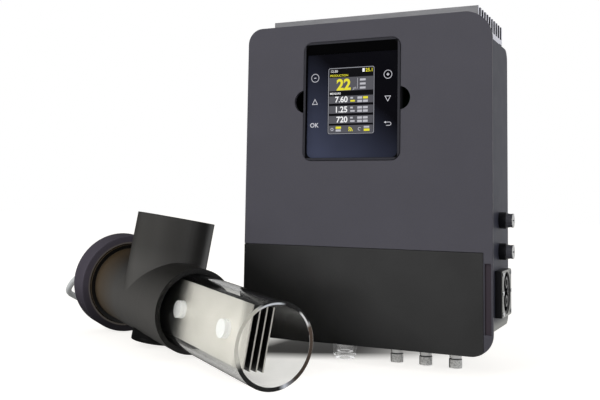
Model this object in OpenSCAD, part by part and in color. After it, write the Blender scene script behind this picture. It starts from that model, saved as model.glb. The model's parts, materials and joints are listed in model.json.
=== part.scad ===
// Salt chlorine generator: a wall control box with a heat sink, and a tee cell with plates in a clear tube.
// Millimetres. +Z is up, the front faces -Y and the floor is Z = 0.

/* [Box] */
// Width of the front cover
cover_w = 242; // [232:1:260]
// Height of the front cover
cover_h = 300; // [290:1:320]
// Radius of the front cover's left corners
left_r = 15; // [8:0.5:25]
// Radius of the front cover's upper right corner
upper_right_r = 25; // [12:0.5:30]
// Radius of the front cover's lower right corner
lower_right_r = 19.5; // [12:0.5:25]
// Thickness of the front covers
cover_t = 4; // [3:0.5:5]
// Height of the lower cover
lower_h = 88.5; // [82:0.5:100]
// Width of the cover strip beside the lower cover
strip_w = 8; // [7:0.5:12]
// Height of the covers' lower edge above the floor
stand_h = 16.5; // [14:0.5:20]
// Depth of the housing's side walls, measured from the front face
side_d = 66; // [62:1:72]
// Depth of the whole housing, measured from the front face
body_d = 112; // [108:1:125]
// How far the housing's top lies below the covers' upper edge
top_drop = 25.5; // [20:0.5:30]
// How far the housing's bottom lies above the covers' lower edge
low_rise = 22; // [18:0.5:26]
// Radius of the housing's rounded back edges
back_r = 10; // [4:0.5:12]
// Wall thickness of the housing
wall = 3; // [2.5:0.1:3.4]
// Length of the finger recess in the cover strip
grip_h = 60; // [40:1:64]
// Depth of the finger recess
grip_d = 2.5; // [1:0.1:2.6]

/* [Heat sink] */
// Length of the heat sink, across the box
sink_w = 204.6; // [180:0.2:212]
// Height of the heat sink's fins over the box
sink_h = 33.2; // [28:0.2:40]
// Height of the heat sink's feet, which leave an air gap over the box
sink_foot = 14.8; // [10:0.2:16]
// Thickness of the heat sink's base
sink_base = 5; // [3:0.1:6]
// Thickness of one fin
fin_t = 3.6; // [2:0.1:5]
// Number of fins
fin_n = 11; // [7:1:14]

/* [Display] */
// Width of the display module
disp_w = 96.8; // [92:0.2:100]
// Height of the display module
disp_h = 113.2; // [106:0.2:116]
// Distance from the covers' left edge to the module
disp_x = 61.7; // [58:0.1:70]
// Height of the module's lower edge over the covers' lower edge
disp_z = 168.8; // [164:0.2:174]
// Corner radius of the module
disp_r = 8.5; // [6:0.5:12]
// Width of the module's raised rim
rim_w = 2.4; // [2:0.1:2.8]
// How far the rim stands out of the cover
rim_proud = 0.6; // [0.2:0.1:2]
// Depth of the panel behind the rim
panel_in = 3; // [2:0.1:4]
// Radius of the finger notches beside the module
notch_r = 10.8; // [8:0.1:12]
// Width of the screen window
screen_w = 47.2; // [40:0.2:50]
// Height of the screen window
screen_h = 63.6; // [55:0.2:66]
// Offset of the screen and the keys from the module's middle
screen_dx = -1; // [-2:0.1:2]
// Radius of a key plunger
key_r = 2.4; // [1.5:0.1:2.4]

/* [Side fittings] */
// Radius of a fuse holder's collar
fuse_r = 7.3; // [7:0.1:8]
// Length of a fuse holder's collar
fuse_collar = 6; // [4:0.2:8]
// Length of a fuse cap
fuse_cap_l = 5.6; // [5:0.2:9]
// Width of the cell socket
socket_w = 38.4; // [36:0.2:42]
// Height of the cell socket
socket_h = 40; // [39:0.2:44]
// How far the cell socket stands out of the side wall
socket_out = 6.4; // [5:0.2:9]
// Distance between the two contacts of the cell socket
pole_pitch = 16; // [15:0.5:18]
// Radius of the round openings in the socket's face
pole_r = 9; // [8.6:0.1:9]
// Radius of a socket contact
contact_r = 4.5; // [3.8:0.1:4.8]
// Radius of a socket contact's bore
contact_bore = 2.9; // [2:0.1:3.2]

/* [Bottom fittings] */
// Radius of a probe jack's sleeve
jack_r = 5.9; // [5:0.1:6]
// Distance between probe jacks
jack_pitch = 27.6; // [24:0.2:28]
// Radius of the mains cable gland
gland_r = 10.8; // [9:0.1:11]

/* [Cell place] */
// Place of the tee's centre along X, measured from the covers' left edge
cell_x = -91; // [-110:1:-85]
// Place of the tee's centre along Y, measured from the front face
cell_y = -7; // [-15:1:0]
// Turn of the cell's axis from the X axis, towards the front
cell_turn = 32.8; // [30:0.2:36]
// Lean of the branch about the cell's axis
cell_lean = 8.8; // [0:0.2:12]

/* [Cell] */
// Radius of the tee's barrel and branch
tee_r = 39.3; // [39:0.1:41]
// Height of the branch over the tee's axis
branch_h = 81; // [78:1:95]
// Bore radius of the pipe socket in the branch (63 mm pipe)
socket_r = 31.6; // [31.5:0.05:32]
// Depth of the pipe socket
socket_depth = 38; // [36:1:40]
// Radius of the collar that holds the clear tube
collar_r = 39.6; // [39.2:0.1:42]
// Distance from the tee's centre to the collar's front
collar_end = 83; // [78:1:90]
// Outer radius of the clear tube
tube_r = 35; // [34.4:0.1:36]
// Wall thickness of the clear tube
tube_wall = 3.4; // [3:0.1:3.6]
// Distance from the tee's centre to the clear tube's open end
tube_end = 231; // [222:1:245]
// Outer radius of the union nut
nut_r = 52.8; // [50:0.1:56]
// Distance from the tee's centre to the nut's front
nut_front = 93.7; // [90:0.1:97]
// Length of the union nut
nut_l = 34.3; // [32:0.1:40]
// Radius of the threaded spigot inside the nut
spigot_r = 43.4; // [42.5:0.1:44.5]
// Radius of the small port below the tee
port_r = 22; // [20:0.1:23]
// Depth of the port's plug below the tee's axis
port_end = 44.2; // [43.5:0.1:44.4]

/* [Electrode] */
// Height of a plate
plate_h = 52; // [44:0.5:53]
// Thickness of a plate
plate_t = 1.2; // [0.8:0.1:1.6]
// Distance between plates
plate_pitch = 6.2; // [5.6:0.1:6.4]
// Distance from the tee's centre to the plates' free end
plate_end = 205; // [195:1:212]
// Radius of the plate bolts' heads
bolt_head_r = 8; // [6:0.1:9]
// Radius of a terminal rod
rod_r = 3.5; // [3:0.1:4]

/* [Cable] */
// Radius of the cell cable
cable_r = 3.5; // [3.3:0.05:3.5]

/* [Fits] */
// Gap around pieces that move or lift off
gap = 0.4; // [0.3:0.05:0.5]
// Running clearance of a turning piece on its spindle
run = 0.06; // [0.03:0.01:0.09]

/* [Hidden] */
$fn = 64;
eps = 0.01;

// Box levels, measured from the covers' lower left front corner
body_z0 = low_rise;
body_z1 = cover_h - top_drop;
shelf_z = 128;
rear_x0 = 12;
rear_x1 = cover_w - 12;
rear_z0 = body_z0 + 12;
sink_y0 = 12;
sink_y1 = body_d + 3;
sink_x = (cover_w - sink_w) / 2 + 4;
bracket_t = 3;
plinth_z = 4;
plinth_x0 = 60;
plinth_x1 = 225;
plinth_y0 = 12;
plinth_y1 = 58;

// Display levels
panel_t = 1.2;
ledge_w = 2.4;
ceiling_h = 9.5;
panel_back = panel_in + panel_t;
board_y = 7;
film_t = 1;
board_t = 1.6;
tray_d = 9.4;
header_l = 18;
disp_mid_x = disp_x + disp_w / 2;
disp_mid_z = disp_z + disp_h / 2;
screen_x = disp_mid_x + screen_dx;
screen_z = disp_mid_z - 0.1;
hood_x0 = disp_x - 12;
hood_x1 = disp_x + disp_w + 12;
hood_z1 = disp_z + disp_h + 7.8;
key_dx = 36.8;
key_dz = 23;

// Electronics levels
main_y = 46;
terminal_y = 50;
terminal_x = [37, cover_w - 47];
terminal_z = [shelf_z - 12, 62];
terminal_z0 = 40;
post_hole = 10;
screw_l = 10;
screw_head = 2;
board_x0 = 16;
board_x1 = cover_w - 16;
board_z0 = 140;
board_z1 = body_z1 - 12;

// Side fittings
fuse_y = 30;
fuse_z = [116, 88.6];
fuse_bore = 4.9;
cap_end_t = 2.6;
socket_y0 = 8.3;
socket_z0 = 33;
socket_mid_y = socket_y0 + socket_w / 2;
sleeve_r = contact_r + 0.7;
socket_mid_z = socket_z0 + socket_h / 2 + 1;

// Bottom fittings
jack_x = [for (k = [0:2]) 146.1 + k * jack_pitch];
jack_y = 33;
gland_x = 97.2;
gland_y = 25;

// Cell pose: the union nut and the open end of the clear tube rest on the floor
cell_dip = atan((nut_r - tube_r) / (tube_end + nut_front));
cell_z = nut_r * cos(cell_dip) - nut_front * sin(cell_dip);
axis_x = cos(cell_dip) * cos(cell_turn);
axis_y = -cos(cell_dip) * sin(cell_turn);
nut_back = nut_front + nut_l;

// Cell levels along its axis, from the tee's centre
tube_in = 40;
bore_r = 31.5;
spigot_end = 118;
flange_t = 4.8;
flange_back = spigot_end + 0.2 + flange_t;
boss_r = nut_r - 17.8;
boss_back = nut_back + 6;
gland_hex = 7;
gland_stem = 16;
cord_start = boss_back + gland_stem;
gland_nut_back = cord_start + 8;
plate_start = -10;
tab_start = -28;
bus_start = -34;
plate_y = [for (k = [-1.5:1:1.5]) k * plate_pitch];
bolt_s = [78.7, 168.7];

// Middle of the whole, so that the origin is the middle of the footprint
far_right = cover_w + fuse_collar + 0.3 + fuse_cap_l;
far_left = cell_x - max(
    (nut_back - 2.5) * axis_x + nut_r * sqrt(1 - axis_x * axis_x),
    gland_nut_back * axis_x + 9.5 * sqrt(1 - axis_x * axis_x)
);
far_front = cell_y + tube_end * axis_y - tube_r * sqrt(1 - axis_y * axis_y);
far_back = sink_y1;
mid_x = (far_right + far_left) / 2;
mid_y = (far_front + far_back) / 2;

// Cable path on the floor, in the box's coordinates but with Z from the floor
coil_turns_in = 2.375;
coil_pitch = 8.4;
coil_mid = [-286, 195];
coil_low = 5;
coil_in = 28.5;
coil_out = coil_in + coil_turns_in * coil_pitch;
coil_turns = 2 * coil_turns_in + 0.5;
coil_start = [coil_mid[0] - coil_out, coil_mid[1], coil_low];
coil_finish = [coil_mid[0], coil_mid[1] + coil_out, coil_low + coil_pitch];
end_l = 31;
plug_x = coil_finish[0] + end_l;
plug_h = 2 * (coil_low + coil_pitch) - 1;
plug_end = 49;
cable_points = concat(
    [for (s = [cord_start, cord_start + 8, cord_start + 20]) cell_point(-s)],
    [[-252, 95, 57.5], [-270, 98.5, 56], [-285, 98, 51.5], [-296, 99, 44.5], [-305, 102.5, 37],
     [-313, 109.5, 31], [-320, 120, 26], [-325.5, 132, 22], [-329.5, 145, 17.5], [-332, 158, 12.5],
     [-333.5, 170.5, 8]],
    [for (d = [9, 0]) coil_start - [0, d, 0]]
);
coil_points = concat(
    [for (k = [0:24 * coil_turns]) coil_point(k / 24)],
    [coil_finish + [8, 0, 0]]
);
end_points = [for (d = [8, end_l / 2 + 4, end_l]) coil_finish + [d, 0, 0]];

// A point of the cell's axis, in the box's coordinates with Z from the floor
function cell_point(s) = [cell_x + s * axis_x, cell_y + s * axis_y, cell_z - s * sin(cell_dip)];

// Radius and height of the coil after so many turns: in on the lower layer, up, then out on the upper one
function coil_radius(t) = t < coil_turns_in ? coil_out - coil_pitch * t
    : t < coil_turns_in + 0.5 ? coil_in : coil_in + coil_pitch * (t - coil_turns_in - 0.5);
function coil_height(t) = coil_low + coil_pitch * min(1, max(0, (t - coil_turns_in) / 0.5));
function coil_point(t) = [
    coil_mid[0] - coil_radius(t) * cos(360 * t),
    coil_mid[1] + coil_radius(t) * sin(360 * t),
    coil_height(t)
];

// Least distance between points of the coil that are more than half a turn apart along the cord
coil_gap = min([for (i = [0:len(coil_points) - 2], j = [i + 12:1:len(coil_points) - 2])
    norm(coil_points[i] - coil_points[j])]) - 2 * cable_r;
echo(coil_gap_to_itself = coil_gap);

// Places
module in_box() {
    translate([-mid_x, -mid_y, stand_h]) children();
}

module in_cell() {
    translate([cell_x - mid_x, cell_y - mid_y, cell_z])
        rotate([0, 0, -cell_turn]) rotate([0, cell_dip, 0]) rotate([-cell_lean, 0, 0]) children();
}

module on_floor() {
    translate([-mid_x, -mid_y, 0]) children();
}

// Basic shapes
module rounded_rect(w, h, r) {
    translate([r, 0]) square([w - 2 * r, h]);
    translate([0, r]) square([w, h - 2 * r]);
    for (x = [r, w - r], y = [r, h - r]) translate([x, y]) circle(r);
}

module slab(y0, y1) {
    translate([0, y1, 0]) rotate([90, 0, 0]) linear_extrude(y1 - y0) children();
}

module bar(x0, x1) {
    translate([x0, 0, 0]) rotate([90, 0, 90]) linear_extrude(x1 - x0) children();
}

module block(lo, hi) {
    translate(lo) cube(hi - lo);
}

module rod_x(x0, x1, r) {
    translate([x0, 0, 0]) rotate([0, 90, 0]) cylinder(r = r, h = x1 - x0);
}

module rod_y(y0, y1, r) {
    translate([0, y0, 0]) rotate([-90, 0, 0]) cylinder(r = r, h = y1 - y0);
}

module rod_z(z0, z1, r) {
    translate([0, 0, z0]) cylinder(r = r, h = z1 - z0);
}

module ring_x(x0, x1, r_in, r_out) {
    difference() {
        rod_x(x0, x1, r_out);
        rod_x(x0 - 1, x1 + 1, r_in);
    }
}

// A tube of straight pieces through the points, its ring axes taken from a reference direction
module cord(points, r, sides, ref) {
    n = len(points);
    rings = [for (i = [0:n - 1]) let (
        t = points[min(n - 1, i + 1)] - points[max(0, i - 1)],
        a = cross(t, ref) / norm(cross(t, ref)),
        b = cross(t, a) / norm(t)
    ) for (k = [0:sides - 1]) points[i] + r * (cos(360 * k / sides) * a + sin(360 * k / sides) * b)];
    skin = [for (i = [0:n - 2], k = [0:sides - 1], h = [0, 1]) let (
        p = i * sides + k,
        q = i * sides + (k + 1) % sides
    ) h == 0 ? [p, q, p + sides] : [q, q + sides, p + sides]];
    first = [for (k = [1:sides - 2]) [0, k + 1, k]];
    last = [for (k = [1:sides - 2]) (n - 1) * sides * [1, 1, 1] + [0, k, k + 1]];
    polyhedron(points = rings, faces = concat(skin, first, last));
}

// Covers and housing
module cover_outline() {
    difference() {
        square([cover_w, cover_h]);
        corner_waste(left_r);
        translate([0, cover_h]) rotate(-90) corner_waste(left_r);
        translate([cover_w, 0]) rotate(90) corner_waste(lower_right_r);
        translate([cover_w, cover_h]) rotate(180) corner_waste(upper_right_r);
    }
}

// What a rounding takes off a corner that points down and left
module corner_waste(r) {
    difference() {
        translate([-1, -1]) square(r + 1);
        translate([r, r]) circle(r);
    }
}

module display_opening() {
    translate([disp_x - gap, disp_z - gap]) rounded_rect(disp_w + 2 * gap, disp_h + 2 * gap, disp_r + gap);
    for (x = [disp_x + 1.2, disp_x + disp_w - 1.2]) translate([x, disp_mid_z]) circle(notch_r);
}

tab_x = [22, cover_w - 40];
tab_z = lower_h - 7;
tab_y = cover_t + 2;
tab_t = 2;

module front_cover() {
    color("#4d4c52") in_box() difference() {
        union() {
            slab(0, cover_t) difference() {
                cover_outline();
                translate([-1, -1]) square([cover_w - strip_w + 1, lower_h + 1]);
            }
            for (x = tab_x) {
                block([x - 7, cover_t - eps, lower_h + 1], [x + 7, tab_y + tab_t, lower_h + 10]);
                block([x - 7, tab_y, tab_z - 6], [x + 7, tab_y + tab_t, lower_h + 10]);
            }
            for (x = [30, cover_w - 38]) {
                block([x, cover_t - eps, body_z1 - wall - 5.3], [x + 8, cover_t + 9, body_z1 - wall - 2.3]);
            }
        }
        slab(-1, cover_t + 1) display_opening();
        block([cover_w - strip_w + 1, -1, lower_h / 2 + 5 - grip_h / 2],
            [cover_w - 1.4, grip_d, lower_h / 2 + 5 + grip_h / 2]);
        for (x = tab_x) translate([x, 0, tab_z]) rod_y(tab_y - 1, tab_y + tab_t + 1, 2.2);
    }
}

peg_x = [40, cover_w - 50];
peg_z = 46;
peg_r = 3;
peg_l = 9;
socket_back = 26;

module lower_cover() {
    color("#232326") in_box() {
        slab(0, cover_t) intersection() {
            cover_outline();
            square([cover_w - strip_w - gap, lower_h - gap]);
        }
        for (x = peg_x) translate([x, 0, peg_z]) rod_y(cover_t - eps, cover_t + peg_l, peg_r);
    }
}

module side_profile(y0, y1, z0, z1, r) {
    translate([y0, z0 + r]) square([y1 - y0, z1 - z0 - 2 * r]);
    translate([y0, z0]) square([y1 - y0 - r, z1 - z0]);
    for (z = [z0 + r, z1 - r]) translate([y1 - r, z]) circle(r);
}

bracket_x = 112;
bracket_z = 80;
bracket_mid = [cover_w / 2, body_z1 - 74];

module housing() {
    color("#5a5b66") in_box() difference() {
        union() {
            bar(0, cover_w) side_profile(cover_t, side_d, body_z0, body_z1, back_r);
            block([plinth_x0, plinth_y0, plinth_z], [plinth_x1, plinth_y1, body_z0 + 1]);
            block([hood_x0, cover_t, body_z1 - 20], [hood_x1, sink_y0 - 0.2, hood_z1]);
        }
        // Wiring room and electronics room, with a shelf between them
        block([wall, cover_t - 1, body_z0 + wall], [cover_w - wall, side_d - wall, shelf_z]);
        block([wall, cover_t - 1, shelf_z + wall], [cover_w - wall, side_d - wall, body_z1 - wall]);
        block([plinth_x0 + wall, plinth_y0 + wall, plinth_z + wall],
            [plinth_x1 - wall, plinth_y1 - wall, body_z0 + wall + 1]);
        block([hood_x0 + wall, cover_t - 1, body_z1 - 20], [hood_x1 - wall, tray_d + 0.6, hood_z1 - wall]);
        // Ways into the rear housing, inside a margin that carries the posts
        block([30, side_d - wall - 1, board_z0 + 8], [cover_w - 30, side_d + 1, board_z1 - 8]);
        block([terminal_x[0] + 9, side_d - wall - 1, rear_z0 + 12],
            [terminal_x[1] - 9, side_d + 1, shelf_z - 12]);
        // Rebate for the cover gasket
        slab(cover_t - 1, cover_t + 2) room_outline(wall / 2);
        // Holes for the fittings
        for (z = fuse_z) translate([0, fuse_y, z]) rod_x(cover_w - wall - 1, cover_w + 1, 6.2);
        block([cover_w - wall - 1, socket_y0 + 4, socket_z0 + 1.5],
            [cover_w + 1, socket_y0 + socket_w - 4, socket_z0 + socket_h - 1.5]);
        for (x = jack_x) translate([x, jack_y, 0]) rod_z(plinth_z - 1, plinth_z + wall + 1, 4.8);
        translate([gland_x, gland_y, 0]) rod_z(plinth_z - 1, plinth_z + wall + 1, 8.2);
    }
}

module rear_housing() {
    color("#565762") in_box() difference() {
        block([rear_x0, side_d, rear_z0], [rear_x1, body_d, body_z1]);
        block([rear_x0 + wall, side_d - 1, shelf_z + wall], [rear_x1 - wall, body_d - wall, body_z1 - wall]);
        block([rear_x0 + wall, side_d - 1, rear_z0 + wall], [rear_x1 - wall, body_d - wall, shelf_z]);
        // Window for the rectifier under the heat sink
        block([rect_x0 - 1, rect_y0 - 1, body_z1 - wall - 1], [rect_x1 + 1, rect_y1 + 1, body_z1 + 1]);
        // Hook slots and screw ways for the wall bracket
        for (x = [-30, 10]) translate([bracket_mid[0] + x, 0, bracket_mid[1] + 36])
            block([0, body_d - wall - 1, -14], [20, body_d + 1, 0]);
        for (x = [-1, 1], z = [-1, 1])
            translate([bracket_mid[0] + x * bracket_x / 2, 0, bracket_mid[1] + z * bracket_z / 2])
                rod_y(body_d - wall - 1, body_d + 1, 6);
    }
}

// Posts for the boards and the covers, on the housing's back wall
module board_posts() {
    color("#4f505a") in_box() {
        for (x = [board_x0 + 5, board_x1 - 5], z = [board_z0 + 4, board_z1 - 4]) translate([x, 0, z])
            post(main_y + board_t, side_d - wall, 3.5, 1.5);
        for (x = terminal_x, z = terminal_z) translate([x, 0, z])
            post(terminal_y + board_t, side_d - wall, 3, 1.25);
        for (x = tab_x) translate([x, 0, tab_z]) post(tab_y + tab_t, side_d - wall, 4.5, 1.8);
        for (x = peg_x) translate([x, 0, peg_z]) {
            post(cover_t + 3, socket_back, peg_r + 2, peg_r + gap);
            block([-1.5, socket_back - eps, -1.5], [1.5, side_d - wall, 1.5]);
        }
    }
}

module post(y0, y1, r, r_hole) {
    difference() {
        rod_y(y0, y1, r);
        rod_y(y0 - 1, y0 + post_hole, r_hole);
    }
}

// Front outline of the electronics room and of the hood over the display, less an inset
module room_outline(inset) {
    translate([inset, shelf_z + inset]) square([cover_w - 2 * inset, body_z1 - shelf_z - 2 * inset]);
    translate([hood_x0 + inset, shelf_z + inset])
        square([hood_x1 - hood_x0 - 2 * inset, hood_z1 - shelf_z - 2 * inset]);
}

module cover_gasket() {
    color("#1c1c1c") in_box() slab(cover_t, cover_t + 2) difference() {
        room_outline(wall / 2);
        room_outline(wall);
    }
}

module screw_y(y, r_head, r, l) {
    rod_y(y - screw_head, y, r_head);
    rod_y(y - eps, y + l, r);
}

module fixing_screws() {
    color("#b9bcc0") in_box() {
        for (x = tab_x) translate([x, tab_y, tab_z]) {
            rod_y(-1.7, 0, 3.6);
            rod_y(-eps, 10, 1.75);
        }
        for (x = [board_x0 + 5, board_x1 - 5], z = [board_z0 + 4, board_z1 - 4]) translate([x, 0, z])
            screw_y(main_y, 2.8, 1.45, screw_l);
        for (x = terminal_x, z = terminal_z) translate([x, 0, z])
            screw_y(terminal_y, 2.4, 1.2, screw_l);
    }
}

// Heat sink, rectifier and wall bracket
module heat_sink() {
    pitch = (sink_y1 - sink_y0 - fin_t) / (fin_n - 1);
    base_z = body_z1 + sink_foot;
    color("#a9abae") in_box() bar(sink_x, sink_x + sink_w) {
        translate([sink_y0, base_z]) square([sink_y1 - sink_y0, sink_base]);
        for (k = [0:fin_n - 1]) translate([sink_y0 + k * pitch, base_z]) square([fin_t, sink_h - sink_foot]);
        // A foot at the front, and a broad one over the rectifier
        translate([sink_y0, body_z1]) square([4, sink_foot + 1]);
        translate([rect_y0 - 2, body_z1]) square([rect_y1 - rect_y0 + 4, sink_foot + 1]);
    }
}

rect_w = 64;
rect_h = 14;
lead_r = 2.5;
lead_l = 6;
lead_in = 12;
rect_x0 = cover_w / 2 - rect_w / 2;
rect_x1 = cover_w / 2 + rect_w / 2;
rect_y0 = side_d + 8;
rect_y1 = body_d - wall - 9;

module rectifier() {
    color("#2b2b2e") in_box() {
        block([rect_x0, rect_y0, body_z1 - rect_h], [rect_x1, rect_y1, body_z1]);
        for (x = [rect_x0 + lead_in, cover_w / 2, rect_x1 - lead_in])
            translate([x, (rect_y0 + rect_y1) / 2, body_z1 - rect_h]) rod_z(-lead_l, eps, lead_r);
    }
}

module wall_bracket() {
    color("#9a9da1") in_box() difference() {
        union() {
            slab(body_d, body_d + bracket_t) translate(bracket_mid - [bracket_x / 2 + 10, bracket_z / 2 + 10])
                rounded_rect(bracket_x + 20, bracket_z + 20, 5);
            for (x = [-29, 11]) translate([bracket_mid[0] + x, body_d, bracket_mid[1] + 36]) {
                block([0, -wall - 2.4, -2.5], [18, eps, 0]);
                block([0, -wall - 2.4, -2.5], [18, -wall, 7]);
            }
        }
        for (x = [-1, 1], z = [-1, 1])
            translate([bracket_mid[0] + x * bracket_x / 2, 0, bracket_mid[1] + z * bracket_z / 2])
                rod_y(body_d - 1, body_d + bracket_t + 1, 2.75);
    }
}

// Electronics
module main_board() {
    color("#1f6b3a") in_box() difference() {
        block([board_x0, main_y, board_z0], [board_x1, main_y + board_t, board_z1]);
        for (x = [board_x0 + 5, board_x1 - 5], z = [board_z0 + 4, board_z1 - 4]) translate([x, 0, z])
            rod_y(main_y - 1, main_y + board_t + 1, 1.7);
    }
}

header_z = disp_mid_z - 30;

module board_socket() {
    color("#17181a") in_box() difference() {
        block([disp_mid_x - 16, tray_d + header_l - 6, header_z - 6],
            [disp_mid_x + 16, main_y, header_z + 6]);
        block([disp_mid_x - 13, tray_d, header_z - 3.5],
            [disp_mid_x + 13, tray_d + header_l + 3, header_z + 3.5]);
    }
}

part_pitch = 24;
relay_in = 13;
relay_w = 29;
relay_d = 16;
relay_h = 13;
can_r = 6.5;
can_l = 21;

module board_parts() {
    color("#2f5fa8") in_box() {
        for (k = [0:2]) translate([board_x1 - relay_in - relay_w, main_y, board_z0 + 16 + k * part_pitch])
            block([0, -relay_d, 0], [relay_w, 0, relay_h]);
        for (i = [0, 1], k = [0, 1]) translate([board_x0 + 14 + i * 17, 0, board_z0 + 22 + k * part_pitch])
            rod_y(main_y - can_l, main_y, can_r);
    }
}

supply_w = 92;
supply_d = 37;

module power_supply() {
    x0 = (cover_w - supply_w) / 2;
    color("#8d9095") in_box()
        block([x0, body_d - wall - supply_d, shelf_z + wall + 5],
            [x0 + supply_w, body_d - wall, bracket_mid[1] + 28]);
}

module terminal_board() {
    color("#1f6b3a") in_box() difference() {
        block([terminal_x[0] - 7, terminal_y, terminal_z0],
            [terminal_x[1] + 11, terminal_y + board_t, shelf_z - 6]);
        for (x = terminal_x, z = terminal_z) translate([x, 0, z])
            rod_y(terminal_y - 1, terminal_y + board_t + 1, 1.4);
        for (x = peg_x) translate([x, 0, peg_z])
            block([-2, terminal_y - 1, -2], [2, terminal_y + board_t + 1, 2]);
        for (x = tab_x) translate([x, 0, tab_z]) rod_y(terminal_y - 1, terminal_y + board_t + 1, 5);
    }
}

ways = 6;
way_r = 1.8;
block_d = 13;
block_h = 12;
block_gap = 6;
block_edge = 4;
block_z = 56;
block_x0 = terminal_x[0] + 19;
block_pitch = (terminal_x[1] - 13 + block_gap - block_x0) / 3;
block_w = block_pitch - block_gap;

module terminal_blocks() {
    way_pitch = (block_w - 2 * block_edge) / (ways - 1);
    color("#3f8f4e") in_box() for (k = [0:2])
    translate([block_x0 + k * block_pitch, 0, block_z]) difference() {
        block([0, terminal_y - block_d, 0], [block_w, terminal_y, block_h]);
        for (i = [0:ways - 1]) translate([block_edge + i * way_pitch, 0, block_h / 2])
            rod_y(terminal_y - block_d - 1, terminal_y - block_d / 2, way_r);
    }
}

// Display module
module disp_outline(inset) {
    translate([disp_x + inset, disp_z + inset])
        rounded_rect(disp_w - 2 * inset, disp_h - 2 * inset, disp_r - inset);
}

module display_bezel() {
    top = disp_z + disp_h - rim_w;
    color("#3a3a3f") in_box() {
        difference() {
            slab(-rim_proud, tray_d) disp_outline(0);
            slab(-rim_proud - 1, panel_back) disp_outline(rim_w);
            slab(panel_back - 1, board_y) disp_outline(rim_w + ledge_w);
            slab(board_y - 1, tray_d + 1) disp_outline(rim_w + 0.8);
        }
        intersection() {
            slab(0, panel_in) disp_outline(rim_w / 2);
            bar(disp_x, disp_x + disp_w)
                polygon([[0, top], [panel_in, top - ceiling_h], [panel_in, top + 1], [0, top + 1]]);
        }
    }
}

module display_panel() {
    color("#0c0c0e") in_box() slab(panel_in, panel_back) difference() {
        disp_outline(rim_w + 0.1);
        translate([screen_x - screen_w / 2, screen_z - screen_h / 2]) rounded_rect(screen_w, screen_h, 2);
    }
}

module display_screen() {
    color("#202226") in_box() slab(panel_back, panel_back + 2.4)
        translate([screen_x - screen_w / 2 - 2.5, screen_z - screen_h / 2 - 4])
            square([screen_w + 5, screen_h + 7.5]);
}

module display_board() {
    color("#1f6b3a") in_box() slab(board_y, board_y + film_t) disp_outline(rim_w + 0.9);
}

module at_keys() {
    for (x = [-1, 1], z = [-1, 0, 1])
        translate([screen_x + x * key_dx, 0, disp_mid_z + 0.6 + z * key_dz]) children();
}

module key_switches() {
    color("#c9ccd0") in_box() at_keys() block([-2.4, board_y - 1, -2.4], [2.4, board_y, 2.4]);
}

module display_back() {
    color("#2a2a2d") in_box() {
        slab(board_y + film_t, tray_d) disp_outline(rim_w + 0.9);
        block([disp_mid_x - 12, tray_d - eps, header_z - 2.5],
            [disp_mid_x + 12, tray_d + header_l, header_z + 2.5]);
    }
}

module key(side, row) {
    color("#e4e4e6") in_box()
        translate([screen_x + side * key_dx, 0, disp_mid_z + 0.6 + row * key_dz])
            rod_y(panel_back + 0.1, board_y - 1.4, key_r);
}

// Fuse holders
module fuse_holders() {
    color("#141416") in_box() for (z = fuse_z) translate([0, fuse_y, z]) difference() {
        union() {
            rod_x(cover_w, cover_w + fuse_collar, fuse_r);
            rod_x(cover_w - 32, cover_w + 1, 6);
            rod_x(cover_w - wall - 3.5, cover_w - wall, 9, $fn = 6);
        }
        rod_x(cover_w - 30, cover_w + fuse_collar + 1, fuse_bore);
    }
}

module fuse(k) {
    color("#cfd6d8") in_box() translate([cover_w, fuse_y, fuse_z[k]]) {
        rod_x(-27, -7, 2.6);
        rod_x(-7, fuse_collar - 1, fuse_bore - 0.5);
        rod_x(fuse_collar - 1 - eps, fuse_collar + fuse_cap_l - cap_end_t, 2.5);
    }
}

module fuse_cap(k) {
    l = fuse_cap_l;
    color("#1a1a1d") in_box() translate([cover_w + fuse_collar + 0.3, fuse_y, fuse_z[k]]) difference() {
        rotate([0, 90, 0]) rotate_extrude()
            polygon([[0, 0], [6.4, 0], [5.9, 0.55 * l], [6.2, l], [0, l]]);
        rod_x(-1, l - cap_end_t, 2.5 + run);
        for (i = [0:15]) rotate([22.5 * i, 0, 0]) block([0.8, 5.6, -0.45], [l + 1, 7, 0.45]);
        block([l - 0.8, -3.5, -0.5], [l + 1, 3.5, 0.5]);
    }
}

// Cell socket
module pole_outline(r) {
    for (z = [-0.5, 0.5]) translate([socket_mid_y, socket_mid_z + z * pole_pitch]) circle(r);
}

module socket_body() {
    x0 = cover_w;
    x1 = cover_w + socket_out - 0.8;
    color("#121214") in_box() {
        difference() {
            union() {
                block([x0, socket_y0, socket_z0], [x1, socket_y0 + socket_w, socket_z0 + socket_h]);
                block([x0 - 14, socket_y0 + 4.2, socket_z0 + 1.7],
                    [x0 + 1, socket_y0 + socket_w - 4.2, socket_z0 + socket_h - 1.7]);
            }
            bar(x0 - 11, x1 + 1) pole_outline(pole_r);
            for (p = screw_places()) translate([0, p[0], p[1]]) rod_x(x1 - 4, x1 + 1, 1);
        }
        difference() {
            bar(x0 - 11 - eps, x1 + 0.5) pole_outline(sleeve_r);
            bar(x0 - 10, x1 + 1) pole_outline(contact_r);
        }
    }
}

function screw_places() = [
    for (y = [-1, 1], z = [-1, 1])
        [socket_mid_y + y * (socket_w / 2 - 3.2), socket_z0 + socket_h / 2 + z * (socket_h / 2 - 3.2)],
    for (y = [-1, 1]) [socket_mid_y + y * (socket_w / 2 - 2.8), socket_mid_z]
];

module socket_face() {
    x1 = cover_w + socket_out;
    color("#c3c5c8") in_box() bar(x1 - 0.8, x1) difference() {
        translate([socket_y0, socket_z0]) rounded_rect(socket_w, socket_h, 1.5);
        translate([socket_y0 + 5.6, socket_z0 + 1.8]) rounded_rect(socket_w - 11.2, socket_h - 3.6, 13.4);
        for (p = screw_places()) translate(p) circle(1.1);
    }
}

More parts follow.
